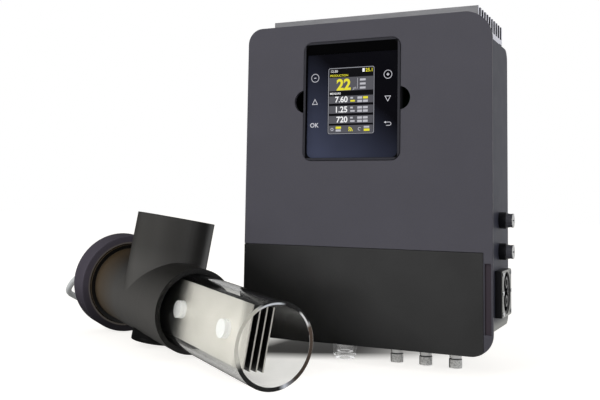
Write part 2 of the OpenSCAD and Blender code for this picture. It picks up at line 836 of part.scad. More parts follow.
module socket_contacts() {
    color("#d2d4d6") in_box() bar(cover_w - 10, cover_w + socket_out - 0.2) difference() {
        pole_outline(contact_r);
        pole_outline(contact_bore);
    }
}

module socket_screws() {
    x1 = cover_w + socket_out;
    color("#e2e3e5") in_box() for (p = screw_places()) translate([0, p[0], p[1]]) {
        rod_x(x1, x1 + 0.7, 1.9);
        rod_x(x1 - 4, x1 + eps, 1);
    }
}

// Bottom fittings
module probe_jacks() {
    color("#b4b2ae") in_box() for (x = jack_x) translate([x, jack_y, 0]) difference() {
        union() {
            rod_z(plinth_z - 1.6, plinth_z, 7);
            rod_z(-stand_h + 8.4, plinth_z - 1.5, jack_r - 0.5);
            rod_z(-stand_h + 7.4, -stand_h + 8.5, jack_r - 1);
            rod_z(-stand_h, -stand_h + 7.5, jack_r);
            rod_z(plinth_z - eps, plinth_z + 14, 4.7);
            translate([0, 0, -stand_h + 3.5]) rod_y(-jack_r - 0.9, jack_r + 0.9, 1);
        }
        difference() {
            rod_z(-stand_h - 1, -stand_h + 9, 4.1);
            rod_z(-stand_h + 2, -stand_h + 10, 2.2);
        }
        rod_z(-stand_h - 1, -stand_h + 7, 0.7);
    }
}

module jack_nuts() {
    color("#a8a7a4") in_box() for (x = jack_x) translate([x, jack_y, plinth_z + wall]) difference() {
        cylinder(r = 7.6, h = 3, $fn = 6);
        rod_z(-1, 4, 4.7);
    }
}

module mains_gland() {
    color("#d9dad8") in_box() translate([gland_x, gland_y, 0]) difference() {
        union() {
            rod_z(plinth_z - 7, plinth_z, gland_r);
            rod_z(plinth_z - 14, plinth_z - 6, gland_r - 3.2);
            rod_z(plinth_z - eps, plinth_z + wall + 4, 8);
            translate([0, 0, plinth_z + wall]) cylinder(r = 11.5, h = 4, $fn = 6);
        }
        rod_z(plinth_z - 15, plinth_z + wall + 5, 5);
    }
}

module mains_gland_nut() {
    z0 = -stand_h + 0.5;
    color("#e3e4e2") in_box() translate([gland_x, gland_y, 0]) difference() {
        union() {
            rod_z(z0 + 3, plinth_z - 7.4, gland_r);
            rod_z(z0, z0 + 3.1, gland_r - 1.6);
        }
        rod_z(z0 + 3, plinth_z - 7, gland_r - 2.8);
        rod_z(z0 - 1, z0 + 4, 5);
        for (i = [0:9]) rotate([0, 0, 36 * i]) translate([gland_r + 0.6, 0, 0])
            rod_z(z0 + 3, plinth_z - 7, 1.2);
    }
}

// Cell
module tee_body() {
    color("#17171a") in_cell() difference() {
        union() {
            rod_x(-nut_front + 2, collar_end - 1, tee_r);
            rod_x(collar_end - 46, collar_end, collar_r);
            rod_x(-spigot_end, -nut_front + 2.1, spigot_r);
            rod_z(0, branch_h, tee_r);
            rod_z(-port_end + 4.2, 0, port_r);
        }
        rod_x(-spigot_end - 1, tube_in + 1, bore_r);
        rod_x(tube_in, collar_end + 1, tube_r + 0.1);
        rod_z(0, branch_h, 28);
        rod_z(branch_h - socket_depth, branch_h + 1, socket_r);
        rod_z(-port_end, 0, 12);
    }
}

module port_plug() {
    color("#202024") in_cell() difference() {
        union() {
            rod_z(-port_end, -port_end + 4.2, port_r);
            rod_z(-port_end + 4.1, -bore_r - 3, 12);
        }
        block([-10, -1.2, -port_end - 1], [10, 1.2, -port_end + 1.6]);
    }
}

module clear_tube() {
    color("#dfe8ea", 0.35) in_cell() ring_x(tube_in, tube_end, tube_r - tube_wall, tube_r);
}

module union_nut() {
    color("#2a282d") in_cell() difference() {
        union() {
            rod_x(-nut_back + 2.5, -nut_front, nut_r);
            rod_x(-nut_back, -nut_back + 2.6, nut_r - 2);
        }
        rod_x(-flange_back - 0.3, -nut_front + 1, spigot_r + 0.5);
        rod_x(-nut_back - 1, -flange_back + 1, boss_r + 0.6);
    }
}

seal_r = 36.6;

module electrode_head() {
    color("#1b1b1e") in_cell() difference() {
        union() {
            rod_x(-flange_back, -spigot_end - 0.2, spigot_r - 0.6);
            rod_x(-spigot_end - 0.3, -96, bore_r - 0.5);
            rod_x(-boss_back, -flange_back + 0.1, boss_r);
        }
        rotate([0, 90, 0]) rotate_extrude()
            translate([seal_r - 2, -spigot_end - 3]) square([4, 4]);
        for (p = rod_places()) translate([0, p[0], p[1]]) rod_x(-boss_back + 5, -95, rod_r);
    }
}

module head_seal() {
    color("#0f0f10") in_cell() rotate([0, 90, 0]) rotate_extrude()
        translate([seal_r, -spigot_end - 3 + 1.35]) circle(1.35);
}

function rod_places() = [
    [(plate_y[0] + plate_y[2]) / 2, plate_h / 2 - 9],
    [(plate_y[1] + plate_y[3]) / 2, -plate_h / 2 + 9]
];

module terminal_rods() {
    color("#b7b4ab") in_cell() for (p = rod_places()) translate([0, p[0], p[1]])
        rod_x(-boss_back + 5, bus_start, rod_r);
}

// One polarity: two plates with their tabs, joined by a bar at one edge
module plate_pair(ys, z0, z1) {
    difference() {
        union() {
            for (y = ys) {
                block([plate_start, y - plate_t / 2, -plate_h / 2],
                    [plate_end, y + plate_t / 2, plate_h / 2]);
                block([tab_start - 1, y - plate_t / 2, z0], [plate_start + 1, y + plate_t / 2, z1]);
            }
            block([bus_start, ys[0] - plate_t / 2, z0], [tab_start, ys[1] + plate_t / 2, z1]);
        }
        for (s = bolt_s) translate([s, 0, 0]) rod_y(-20, 20, 3.2);
    }
}

module anode_plates() {
    color("#cbc7bb") in_cell() plate_pair([plate_y[0], plate_y[2]], plate_h / 2 - 17, plate_h / 2 - 1);
}

module cathode_plates() {
    color("#c4c1b6") in_cell() plate_pair([plate_y[1], plate_y[3]], -plate_h / 2 + 1, -plate_h / 2 + 17);
}

module plate_spacers() {
    color("#f2f2f0") in_cell() for (s = bolt_s, k = [0:2]) translate([s, 0, 0]) difference() {
        rod_y(plate_y[k] + plate_t / 2, plate_y[k + 1] - plate_t / 2, 6);
        rod_y(plate_y[k], plate_y[k + 1], 3.2);
    }
}

tier_t = 2.7;
groove_t = 0.5;

module plate_bolts() {
    y0 = plate_y[0] - plate_t / 2;
    y1 = plate_y[3] + plate_t / 2;
    color("#f4f4f2") in_cell() for (s = bolt_s) translate([s, 0, 0]) {
        rod_y(y0 - tier_t, y0, bolt_head_r);
        rod_y(y0 - tier_t - groove_t - eps, y0 - tier_t + eps, bolt_head_r - 0.9);
        rod_y(y0 - 2 * tier_t - groove_t, y0 - tier_t - groove_t, bolt_head_r - 0.2);
        rod_y(y0 - eps, y1 + eps, 3);
        translate([0, y1, 0]) rotate([-90, 0, 0]) cylinder(r = 6.4, h = 5, $fn = 6);
    }
}

// Cell cable
module cell_gland() {
    color("#3c3c40") in_cell() {
        translate([-boss_back - gland_hex, 0, 0]) rotate([0, 90, 0]) cylinder(r = 13, h = gland_hex, $fn = 6);
        rod_x(-cord_start, -boss_back - gland_hex + eps, 8.5);
    }
}

module cell_gland_nut() {
    color("#46464b") in_cell() difference() {
        union() {
            rod_x(-cord_start - 5, -boss_back - gland_hex - 0.4, 11.6);
            rod_x(-gland_nut_back, -cord_start - 4.9, 9.5);
        }
        rod_x(-cord_start - 1, -boss_back - gland_hex, 8.9);
        rod_x(-gland_nut_back - 1, -cord_start, cable_r + 0.5);
        for (i = [0:11]) rotate([30 * i, 0, 0]) translate([0, 12.2, 0])
            rod_x(-cord_start - 4, -boss_back - gland_hex, 1.2);
    }
}

module cell_cable() {
    color("#c9cbcd") on_floor() cord(cable_points, cable_r, 8, [0, 1, 0.02]);
}

module cable_coil() {
    color("#c9cbcd") on_floor() cord(coil_points, cable_r, 6, [0, 0, 1]);
}

module cable_end() {
    color("#c9cbcd") on_floor() cord(end_points, cable_r, 8, [0, 0, 1]);
}

module cable_tie() {
    r0 = coil_in - cable_r - 1;
    r1 = coil_out + cable_r + 1;
    z0 = coil_low - cable_r - 1;
    z1 = coil_low + coil_pitch + cable_r + 1;
    color("#ececea") on_floor() translate([coil_mid[0], coil_mid[1], 0]) rotate([0, 0, 330]) {
        difference() {
            block([r0 - 1, -2, z0], [r1 + 1, 2, z1 + 0.2]);
            block([r0, -3, z0 + 0.9], [r1, 3, z1 - 0.8]);
        }
        block([r1, -3, z1 - 5], [r1 + 5, 3, z1 - 0.5]);
    }
}

// The plug stands at the cord's end and points away from it; its own -X is the way in
module at_plug() {
    on_floor() translate([plug_x, coil_finish[1], coil_finish[2]]) rotate([0, 0, 180]) children();
}

module at_poles() {
    for (y = [-0.5, 0.5]) translate([0, y * pole_pitch, 0]) children();
}

module plug_body() {
    color("#1d1d20") at_plug() difference() {
        union() {
            rod_x(-12, 0, 7);
            translate([-11, 0, 0]) rotate([0, -90, 0]) linear_extrude(27)
                translate([-plug_h / 2, -20]) rounded_rect(plug_h, 40, 6);
            at_poles() rod_x(-plug_end, -37, pole_r - gap);
        }
        at_poles() rod_x(-plug_end - 1, -plug_end + 12, sleeve_r + gap);
    }
}

module plug_pins() {
    color("#d2d4d6") at_plug() at_poles() rod_x(-plug_end + 0.5, -plug_end + 12, contact_bore - 0.2);
}

front_cover();
lower_cover();
housing();
rear_housing();
board_posts();
cover_gasket();
fixing_screws();
heat_sink();
rectifier();
wall_bracket();
main_board();
board_socket();
board_parts();
power_supply();
terminal_board();
terminal_blocks();
display_bezel();
display_panel();
display_screen();
display_board();
key_switches();
display_back();
key(-1, 1);  // key_minus
key(-1, 0);  // key_up
key(-1, -1);  // key_ok
key(1, 1);  // key_plus
key(1, 0);  // key_down
key(1, -1);  // key_back
fuse_holders();
fuse(0);  // fuse_1
fuse(1);  // fuse_2
fuse_cap(0);  // fuse_cap_1
fuse_cap(1);  // fuse_cap_2
socket_body();
socket_face();
socket_contacts();
socket_screws();
probe_jacks();
jack_nuts();
mains_gland();
mains_gland_nut();
tee_body();
port_plug();
clear_tube();
union_nut();
electrode_head();
head_seal();
terminal_rods();
anode_plates();
cathode_plates();
plate_spacers();
plate_bolts();
cell_gland();
cell_gland_nut();
cell_cable();
cable_coil();
cable_end();
cable_tie();
plug_body();
plug_pins();
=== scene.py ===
"""Looks of a salt chlorine generator: a wall box with a heat sink, and a tee cell with a clear tube.

Places are in millimetres from the covers' lower left front corner, unless a name says otherwise.
"""
import json
import math

import bmesh
import bpy
from mathutils import Matrix, Vector


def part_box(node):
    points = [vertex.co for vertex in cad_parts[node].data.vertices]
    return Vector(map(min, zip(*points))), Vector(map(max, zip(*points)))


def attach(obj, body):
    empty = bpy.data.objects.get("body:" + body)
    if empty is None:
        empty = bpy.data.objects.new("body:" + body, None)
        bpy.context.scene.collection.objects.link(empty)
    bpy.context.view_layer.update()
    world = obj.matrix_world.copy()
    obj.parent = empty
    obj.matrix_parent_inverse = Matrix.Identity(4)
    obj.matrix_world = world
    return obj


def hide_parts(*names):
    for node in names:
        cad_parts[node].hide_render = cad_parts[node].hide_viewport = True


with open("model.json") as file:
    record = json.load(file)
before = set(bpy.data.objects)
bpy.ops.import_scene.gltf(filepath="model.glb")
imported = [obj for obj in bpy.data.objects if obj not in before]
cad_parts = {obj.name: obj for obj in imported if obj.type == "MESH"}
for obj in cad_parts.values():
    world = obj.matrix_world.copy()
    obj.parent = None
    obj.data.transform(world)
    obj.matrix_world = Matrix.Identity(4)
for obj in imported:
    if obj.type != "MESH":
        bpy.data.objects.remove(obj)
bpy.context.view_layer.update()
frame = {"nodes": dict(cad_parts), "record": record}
nodes = frame["nodes"]
scene = bpy.context.scene

MM = 0.001
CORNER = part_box("lower_cover")[0]


# Places
def at(x, y, z):
    """A point in millimetres from the covers' corner, in the frame's metres."""
    return CORNER + Vector((x, y, z)) * MM


def on_floor(x, y, z):
    """The same, with the height measured from the floor."""
    point = at(x, y, 0)
    point.z = z * MM
    return point


def turned(degrees, axis):
    return Matrix.Rotation(math.radians(degrees), 4, axis)


# The cell rests on its union nut and on the end of its tube
NUT_R = 52.8
NUT_FRONT = 93.7
TUBE_R = 35
TUBE_END = 231
CELL_TURN = 32.8
CELL_LEAN = 8.8
CELL_DIP = math.atan((NUT_R - TUBE_R) / (TUBE_END + NUT_FRONT))
CELL_HEIGHT = round(NUT_R * math.cos(CELL_DIP) - NUT_FRONT * math.sin(CELL_DIP), 3)

# The cell's own axes, in millimetres: X runs to the open end of the clear tube, Z up the branch
CELL = (
    Matrix.Translation(on_floor(-91, -7, CELL_HEIGHT))
    @ turned(-CELL_TURN, "Z")
    @ turned(math.degrees(CELL_DIP), "Y")
    @ turned(-CELL_LEAN, "X")
    @ Matrix.Scale(MM, 4)
)

CELL_X, CELL_Y, CELL_Z = (axis.normalized() for axis in CELL.to_3x3().col)
RIGHT = Vector((1, 0, 0))
BACK = Vector((0, 1, 0))
UP = Vector((0, 0, 1))


# Camera, with its focal length and its shift in pixels of the picture's width
PICTURE_W = 600
FOCAL = 809.223
SHIFT_X = -3.488
SHIFT_Y = -64.966
SENSOR_W = 36
YAW, PITCH, ROLL = (math.radians(angle) for angle in (-25.305, 4.727, -0.910))
EYE = at(391.874, -697.683, 129.495)


def make_camera():
    forward = Vector((math.sin(YAW) * math.cos(PITCH), math.cos(YAW) * math.cos(PITCH), math.sin(PITCH)))
    level = Vector((math.cos(YAW), -math.sin(YAW), 0))
    above = level.cross(forward)
    right = level * math.cos(ROLL) - above * math.sin(ROLL)
    up = right.cross(forward)
    data = bpy.data.cameras.new("camera")
    data.sensor_width = SENSOR_W
    data.lens = SENSOR_W * FOCAL / PICTURE_W
    data.shift_x = SHIFT_X / PICTURE_W
    data.shift_y = SHIFT_Y / PICTURE_W
    data.clip_start = 0.01
    camera = bpy.data.objects.new("camera", data)
    scene.collection.objects.link(camera)
    place = Matrix((right, up, -forward)).transposed().to_4x4()
    place.translation = EYE
    camera.matrix_world = place
    scene.camera = camera


make_camera()


# Places that the finishes follow: on the box, above the floor for the jacks, and along the cell
BEZEL_MID = (110.1, 225.4)
BEZEL_W = 96.8
BEZEL_H = 113.2
BEZEL_RIM = 2.2
STRIP_MID = 237.8
STRIP_HALF = 2.9
RECESS_Y = 0.6
HOUSING_FOOT = 21
CAP_END = 253.6
FIN_SHADE_Y = 12.2
JACK_SLEEVE = 7.0
JACK_GROOVE = 7.95
PORT_EDGE = 22.2
PORT_TOP = -30
TEE_MIDDLE = 60
NUT_BORE = 45.6
PLATE_FACE = 9.85
PLATE_END = 204.8
RIM_CREST = 33.1


# Materials
def colour(code):
    """A linear colour from its screen code."""
    parts = [int(code[i:i + 2], 16) / 255 for i in (1, 3, 5)]
    return (*[c / 12.92 if c < 0.04045 else ((c + 0.055) / 1.055) ** 2.4 for c in parts], 1)


def shade(rgba, factor):
    return (*[min(1, c * factor) for c in rgba[:3]], 1)


class Tree:
    """A tree of shader nodes, built step by step."""

    def __init__(self, tree):
        self.tree = tree

    def put(self, socket, value):
        if isinstance(value, bpy.types.NodeSocket):
            self.tree.links.new(value, socket)
        else:
            socket.default_value = value

    def node(self, kind, inputs, **settings):
        node = self.tree.nodes.new("ShaderNode" + kind)
        for key, value in settings.items():
            setattr(node, key, value)
        for key, value in inputs.items():
            self.put(node.inputs[key], value)
        return node

    def source(self, kind):
        """The outputs of a node that takes no inputs."""
        return self.node(kind, {}).outputs

    def span(self, value, low, high, start=0.3, end=0.7, curve="LINEAR"):
        """Takes start..end of a value to low..high."""
        inputs = {0: value, 1: start, 2: end, 3: low, 4: high}
        return self.node("MapRange", inputs, interpolation_type=curve).outputs[0]

    def either(self, factor, a, b):
        """The number a where the factor is 0, and b where it is 1."""
        return self.node("Mix", {0: factor, 2: a, 3: b}).outputs[0]

    def math(self, operation, a, b):
        return self.node("Math", {0: a, 1: b}, operation=operation).outputs[0]

    def dot(self, a, b):
        return self.node("VectorMath", {0: a, 1: b}, operation="DOT_PRODUCT").outputs["Value"]


class Paint(Tree):
    """One material, made of a principled shader and what feeds it."""

    def __init__(self, name):
        self.material = bpy.data.materials.new(name)
        self.material.use_nodes = True
        super().__init__(self.material.node_tree)
        self.shader = self.tree.nodes["Principled BSDF"]
        self.object_space = self.source("TexCoord")["Object"]

    def set(self, **values):
        """Sets the shader's sockets; an underscore in a name stands for a space."""
        for key, value in values.items():
            self.put(self.shader.inputs[key.replace("_", " ")], value)
        return self

    def stretched(self, factors):
        return self.node("Mapping", {"Vector": self.object_space, "Scale": factors}).outputs[0]

    def noise(self, size_mm, detail=3, factors=None):
        """Noise from 0 to 1 with marks of about that size."""
        space = self.stretched(factors) if factors else self.object_space
        inputs = {"Vector": space, "Scale": 1 / (size_mm * MM), "Detail": detail}
        return self.node("TexNoise", inputs).outputs[0]

    def cells(self, size_mm):
        inputs = {"Vector": self.object_space, "Scale": 1 / (size_mm * MM)}
        return self.node("TexVoronoi", inputs).outputs[0]

    def blend(self, factor, a, b):
        """The colour a where the factor is 0, and b where it is 1."""
        return self.node("Mix", {0: factor, 6: a, 7: b}, data_type="RGBA").outputs[2]

    def along(self, direction, origin):
        """Distance in metres from a point along a direction, in the object's own space."""
        offset = self.node("VectorMath", {0: self.object_space, 1: origin}, operation="SUBTRACT")
        return self.dot(offset.outputs[0], direction)

    def radius(self, place):
        """Distance in metres from the X axis of a place."""
        parts = [self.along(place.to_3x3().col[k].normalized(), place.translation) for k in (1, 2)]
        squares = [self.math("MULTIPLY", part, part) for part in parts]
        return self.math("SQRT", self.math("ADD", *squares), 0.0)

    def within(self, direction, origin, half_mm):
        """1 where a point lies within a distance on both sides of the origin, otherwise 0."""
        away = self.math("ABSOLUTE", self.along(direction, origin), 0.0)
        return self.span(away, 1.0, 0.0, (half_mm - 0.05) * MM, (half_mm + 0.05) * MM)

    def toward(self, direction, start=0.6, end=0.8):
        """1 on faces that look along a direction, otherwise 0; start and end are cosines."""
        same = self.dot(self.source("TexCoord")["Normal"], direction)
        return self.span(same, 0.0, 1.0, start, end)

    def beyond(self, direction, origin, soft_mm=0.1):
        """1 past a point along a direction, otherwise 0."""
        return self.span(self.along(direction, origin), 0.0, 1.0, 0.0, soft_mm * MM)

    def over(self, mask, rgba):
        """Lays another colour over the base colour where the mask is 1."""
        socket = self.shader.inputs["Base Color"]
        self.put(socket, self.blend(mask, socket.links[0].from_socket, rgba))
        return self

    def bump(self, height, depth_mm, strength=1.0, normal=None):
        inputs = {"Height": height, "Distance": depth_mm * MM, "Strength": strength}
        if normal:
            inputs["Normal"] = normal
        return self.node("Bump", inputs).outputs[0]

    def rounded(self, radius_mm):
        """A normal that rounds off sharp edges, and a mask of those edges."""
        soft = self.node("Bevel", {"Radius": radius_mm * MM}, samples=4).outputs[0]
        same = self.dot(soft, self.source("NewGeometry")["Normal"])
        return soft, self.span(same, 1.0, 0.0, 0.75, 0.97)


def moulded(name, code, rough=0.5, grain=0.45, depth=0.03, spread=0.08, edge=0.8, wear_and_highlight=1.5, gloss=0.25):
    """Moulded plastic: soft tone changes, a fine eroded grain, and edges a little paler, partly from wear
    and partly as a painted highlight.
    """
    paint = Paint(name)
    base = colour(code)
    tone = paint.span(paint.noise(38, 4), 0.0, 1.0)
    body = paint.blend(tone, shade(base, 1 - spread), shade(base, 1 + spread))
    speck = paint.span(paint.noise(grain * 1.6, 2), 0.0, 0.16)
    body = paint.blend(speck, body, shade(base, 1.7))
    soft, mask = paint.rounded(edge)
    # Paler edges: part wear, part painted highlight where edges catch light.
    body = paint.blend(paint.math("MULTIPLY", mask, 0.5), body, shade(base, wear_and_highlight))
    normal = paint.bump(paint.noise(grain, 2), depth, 0.5, soft)
    roughness = paint.span(paint.noise(16, 3), rough - 0.02, rough + 0.02)
    return paint.set(Base_Color=body, Roughness=roughness, Normal=normal, Specular_IOR_Level=gloss)


def metal(name, code, rough=0.3, grain=(1, 1, 1), mark=0.25, spread=0.1, edge=0.3, depth=0.02):
    """Bare metal with fine streaks; grain stretches them."""
    paint = Paint(name)
    base = colour(code)
    streak = paint.noise(mark, 4, grain)
    tone = paint.span(paint.noise(14, 4), 0, 1)
    body = paint.blend(tone, shade(base, 1 - spread), shade(base, 1 + spread))
    body = paint.blend(paint.span(streak, 0, 0.3), body, shade(base, 0.72))
    soft, _ = paint.rounded(edge)
    normal = paint.bump(streak, depth, 0.4, soft)
    roughness = paint.span(streak, rough * 0.8, rough * 1.3)
    return paint.set(Base_Color=body, Metallic=1.0, Roughness=roughness, Normal=normal)


def circuit_board(name, code):
    """Solder resist with copper tracks showing paler beneath it."""
    paint = Paint(name)
    base = colour(code)
    tracks = paint.node(
        "TexBrick",
        {"Vector": paint.object_space, "Scale": 120.0, "Mortar Size": 0.06, "Color1": (0, 0, 0, 1),
         "Color2": (0.25, 0.25, 0.25, 1), "Mortar": (1, 1, 1, 1)},
        offset=0.37,
    ).outputs[0]
    body = paint.blend(tracks, base, shade(base, 2.1))
    body = paint.blend(paint.span(paint.noise(9, 3), 0, 0.35), body, shade(base, 0.55))
    normal = paint.bump(tracks, 0.03, 0.5)
    roughness = paint.span(paint.noise(3, 2), 0.28, 0.45)
    return paint.set(Base_Color=body, Roughness=roughness, Normal=normal)


def clear_plastic():
    """Cast acrylic with a faint haze, darker where light runs far through its wall."""
    paint = Paint("clear_tube_acrylic")
    haze = paint.span(paint.noise(30, 3), 0.0, 1.0)
    tint = paint.blend(haze, colour("#f8f8f7"), colour("#f0f1ef"))
    paint.set(Base_Color=tint, Roughness=0.0, Transmission_Weight=1.0, IOR=1.08)
    output = paint.tree.nodes["Material Output"].inputs
    absorption = paint.node("VolumeAbsorption", {"Color": (0.1, 0.1, 0.1, 1), "Density": 38.0})
    paint.put(output["Volume"], absorption.outputs[0])
    clear = paint.node("BsdfTransparent", {"Color": (0.94, 0.95, 0.95, 1)})
    shadow = paint.source("LightPath")["Is Shadow Ray"]
    mixed = paint.node("MixShader", {0: shadow, 1: paint.shader.outputs[0], 2: clear.outputs[0]})
    paint.put(output["Surface"], mixed.outputs[0])
    return paint


def gloss_panel():
    """The black printed sheet over the display: a smooth gloss, with a painted slate reflection that grows
    toward the lower left.
    """
    paint = Paint("display_panel_gloss")
    # Painted reflection: a slate sheen in the colour, strongest at the lower left.
    across = paint.along(Vector((-0.65, 0, -0.76)), at(118, 3, 225))
    reflection_fade = paint.span(across, 0.0, 1.0, -8 * MM, 76 * MM)
    cloud = paint.math("MULTIPLY", reflection_fade, paint.span(paint.noise(46, 2), 0.82, 1.0))
    body = paint.blend(cloud, colour("#0a0a0f"), colour("#464b60"))
    roughness = paint.span(paint.noise(11, 3), 0.06, 0.12)
    normal = paint.bump(paint.noise(8, 2), 0.01, 0.1)
    return paint.set(Base_Color=body, Roughness=roughness, Normal=normal, Specular_IOR_Level=0.2)


def bezel_plastic():
    """The display's frame: a satin rim, with painted shade turning the walls inside it black."""
    paint = moulded(
        "bezel_plastic", "#333338", rough=0.42, grain=0.4, depth=0.02, spread=0.05, edge=0.6, gloss=0.05,
    )
    across = paint.within(RIGHT, at(BEZEL_MID[0], 0, 0), BEZEL_W / 2 - BEZEL_RIM)
    upright = paint.within(UP, at(0, 0, BEZEL_MID[1]), BEZEL_H / 2 - BEZEL_RIM)
    # Painted shade: the walls inside the rim are made black.
    return paint.over(paint.math("MULTIPLY", across, upright), colour("#050506"))


def cover_plastic():
    """The upper cover, with painted shade darkening the finger recess of its strip."""
    paint = moulded("cover_plastic", "#49484f", rough=0.52, spread=0.03, edge=1.0, gloss=0.2)
    strip = paint.within(RIGHT, at(STRIP_MID, 0, 0), STRIP_HALF)
    # Painted shade in the finger recess of the strip.
    recess_shade = paint.math("MULTIPLY", strip, paint.beyond(BACK, at(0, RECESS_Y, 0)))
    return paint.over(recess_shade, colour("#403940"))


def housing_plastic():
    """The housing, paler at the foot of its right side, which catches light from the floor."""
    paint = moulded("housing_plastic", "#393a45", rough=0.45, grain=0.5, spread=0.05, gloss=0.06)
    foot = paint.span(paint.along(UP, at(0, 0, HOUSING_FOOT)), 0.9, 0.0, 4 * MM, 11 * MM)
    return paint.over(paint.math("MULTIPLY", foot, paint.toward(RIGHT)), colour("#b4b4ae"))


def lower_plastic():
    """The lower cover, with a painted shadow of the black cell darkening its left."""
    paint = moulded(
        "lower_cover_plastic", "#343434", grain=0.6, depth=0.06, spread=0.1, edge=1.0, wear_and_highlight=2.4, gloss=0.2,
    )
    # Painted shadow of the cell, darkest toward the lower left.
    away = paint.along(Vector((0.55, 0, 0.835)), at(0, 0, 0))
    cell_shadow = paint.span(away, 0.85, 0.0, 58 * MM, 112 * MM)
    return paint.over(cell_shadow, colour("#050505"))


def cap_plastic():
    """A fuse cap of black plastic, painted grey as a sheen, with its end face painted pale as a highlight.
    """
    # Painted sheen: the black cap is given a grey body colour.
    paint = moulded(
        "fuse_cap_plastic", "#46464c", rough=0.35, grain=0.4, depth=0.02, spread=0.12, edge=0.3, wear_and_highlight=1.8,
    )
    # Painted highlight on the end face.
    end = paint.beyond(RIGHT, at(CAP_END, 0, 0))
    return paint.over(end, colour("#dededc"))


def tee_plastic():
    """The tee: a painted sheen makes its outer side paler; it is warmer toward the union nut, with a black
    port.
    """
    paint = moulded(
        "tee_plastic", "#1c1b19", rough=0.4, grain=0.7, depth=0.04, spread=0.04,
        edge=1.1, wear_and_highlight=2.0, gloss=0.3,
    )
    # Painted sheen on faces that turn toward the front, weaker up the branch.
    painted_sheen = paint.toward((CELL_X - CELL_Y - 0.6 * CELL_Z).normalized(), 0.1, 0.72)
    branch = paint.span(paint.along(CELL_Z, CELL.translation), 1.0, 0.6, 30 * MM, 50 * MM)
    paint.over(paint.math("MULTIPLY", painted_sheen, branch), colour("#4b4a48"))
    run = paint.along(CELL_X, CELL.translation)
    warm = paint.span(run, 0.75, 0.0, -88 * MM, -32 * MM)
    paint.over(warm, colour("#4a3c28"))
    branch_radius = paint.radius(CELL @ turned(90, "Y"))
    beside = paint.span(branch_radius, 1.0, 0.0, PORT_EDGE * MM, (PORT_EDGE + 0.3) * MM)
    port = paint.math("MULTIPLY", beside, paint.beyond(-CELL_Z, CELL @ Vector((0, 0, PORT_TOP))))
    paint.over(port, colour("#0c0c0c"))
    middle = paint.within(CELL_X, CELL.translation, TEE_MIDDLE)
    ends = paint.math("SUBTRACT", paint.toward(CELL_X, 0.96, 0.99), middle)
    return paint.over(ends, colour("#0c0b0a"))


def nut_plastic():
    """The union nut: painted shade darkens it below and painted light makes it paler on top; it is also
    paler on the wall of its bore.
    """
    paint = moulded(
        "nut_plastic", "#433f48", rough=0.46, grain=0.7, depth=0.05, spread=0.1,
        edge=1.2, wear_and_highlight=1.8, gloss=0.2,
    )
    # Painted shade below and painted light on top.
    height = paint.along(UP, on_floor(0, 0, 0))
    paint.over(paint.span(height, 0.95, 0.0, 8 * MM, 54 * MM), colour("#120f14"))
    paint.over(paint.span(height, 0.0, 0.4, 60 * MM, 105 * MM), colour("#504c54"))
    bore = paint.span(paint.radius(CELL), 0.8, 0.0, NUT_BORE * MM, (NUT_BORE + 0.8) * MM)
    return paint.over(bore, colour("#6b655f"))


def sink_metal():
    """Extruded aluminium: painted shade darkens it between the fins, and the cut-off ends, bare metal, are
    painted near white as a highlight.
    """
    paint = metal(
        "sink_aluminium", "#8e8e91", rough=0.46, grain=(0.02, 1, 1), mark=0.4, spread=0.04, depth=0.01,
    )
    # Painted shade between the fins, painted highlight on faces that look right.
    paint.over(paint.beyond(BACK, at(0, FIN_SHADE_Y, 0)), colour("#303033"))
    paint.over(paint.toward(RIGHT), colour("#e6e6f0"))
    paint.over(paint.toward(UP), colour("#8e8e91"))
    return paint.set(Metallic=0.35, Specular_IOR_Level=0.3)


def plate_metal():
    """Titanium plates: satin outside, with painted shade near the tee and in a band near their ends, and
    dark on the faces that look at each other.
    """
    paint = metal("plate_titanium", "#efebe2", rough=0.28, mark=0.5, spread=0.03, edge=0.1, depth=0.002)
    between = paint.within(CELL_Y, CELL.translation, PLATE_FACE)
    ends = paint.beyond(CELL_X, CELL @ Vector((PLATE_END, 0, 0)))
    inner_faces = paint.math("MULTIPLY", between, paint.math("SUBTRACT", 1.0, ends))
    run = paint.along(CELL_X, CELL.translation)
    # Painted shade: a darker band near the ends and dark where the tee shades the plates.
    paint.over(paint.span(run, 0.0, 0.6, 187 * MM, 197 * MM), colour("#7d7b74"))
    paint.over(paint.span(run, 0.88, 0.0, 62 * MM, 94 * MM), colour("#1c1d1f"))
    return paint.over(inner_faces, colour("#151515")).set(Metallic=0.1)


def white_nylon(name):
    return moulded(name, "#f0f0ee", rough=0.4, grain=0.5, depth=0.02, spread=0.02, edge=0.5, wear_and_highlight=1.0)


def bolt_nylon():
    """White nylon with a painted glow from a faint emission."""
    return white_nylon("bolt_nylon").set(Emission_Color=(1, 1, 1, 1), Emission_Strength=0.18)


def socket_plate():
    """The socket's plate: satin zinc."""
    return metal(
        "socket_plate", "#8b8b87", rough=0.42, grain=(1, 1, 0.2), mark=0.3, spread=0.06, edge=0.2,
    )


def pale_nylon():
    """Natural nylon that lets light through."""
    paint = moulded(
        "gland_nylon", "#fafafa", rough=0.12, grain=0.6, depth=0.01, spread=0.02,
        edge=0.5, wear_and_highlight=1.0, gloss=0.3,
    )
    return paint.set(Transmission_Weight=0.92, IOR=1.04)


def lit(name, code, dither=0.08):
    """A colour that gives off light, with the faint mesh of its dots: the screen's own light, or a painted
    glow on print.
    """
    paint = Paint(name)
    base = colour(code)
    dots = paint.span(paint.cells(0.3), 1.0, 1 - dither, 0.2, 0.8)
    body = paint.blend(dots, shade(base, 0.9), base)
    paint.set(Base_Color=shade(base, 0.05), Emission_Color=body, Emission_Strength=0.95)
    return paint.set(Roughness=0.3, Specular_IOR_Level=0.1)


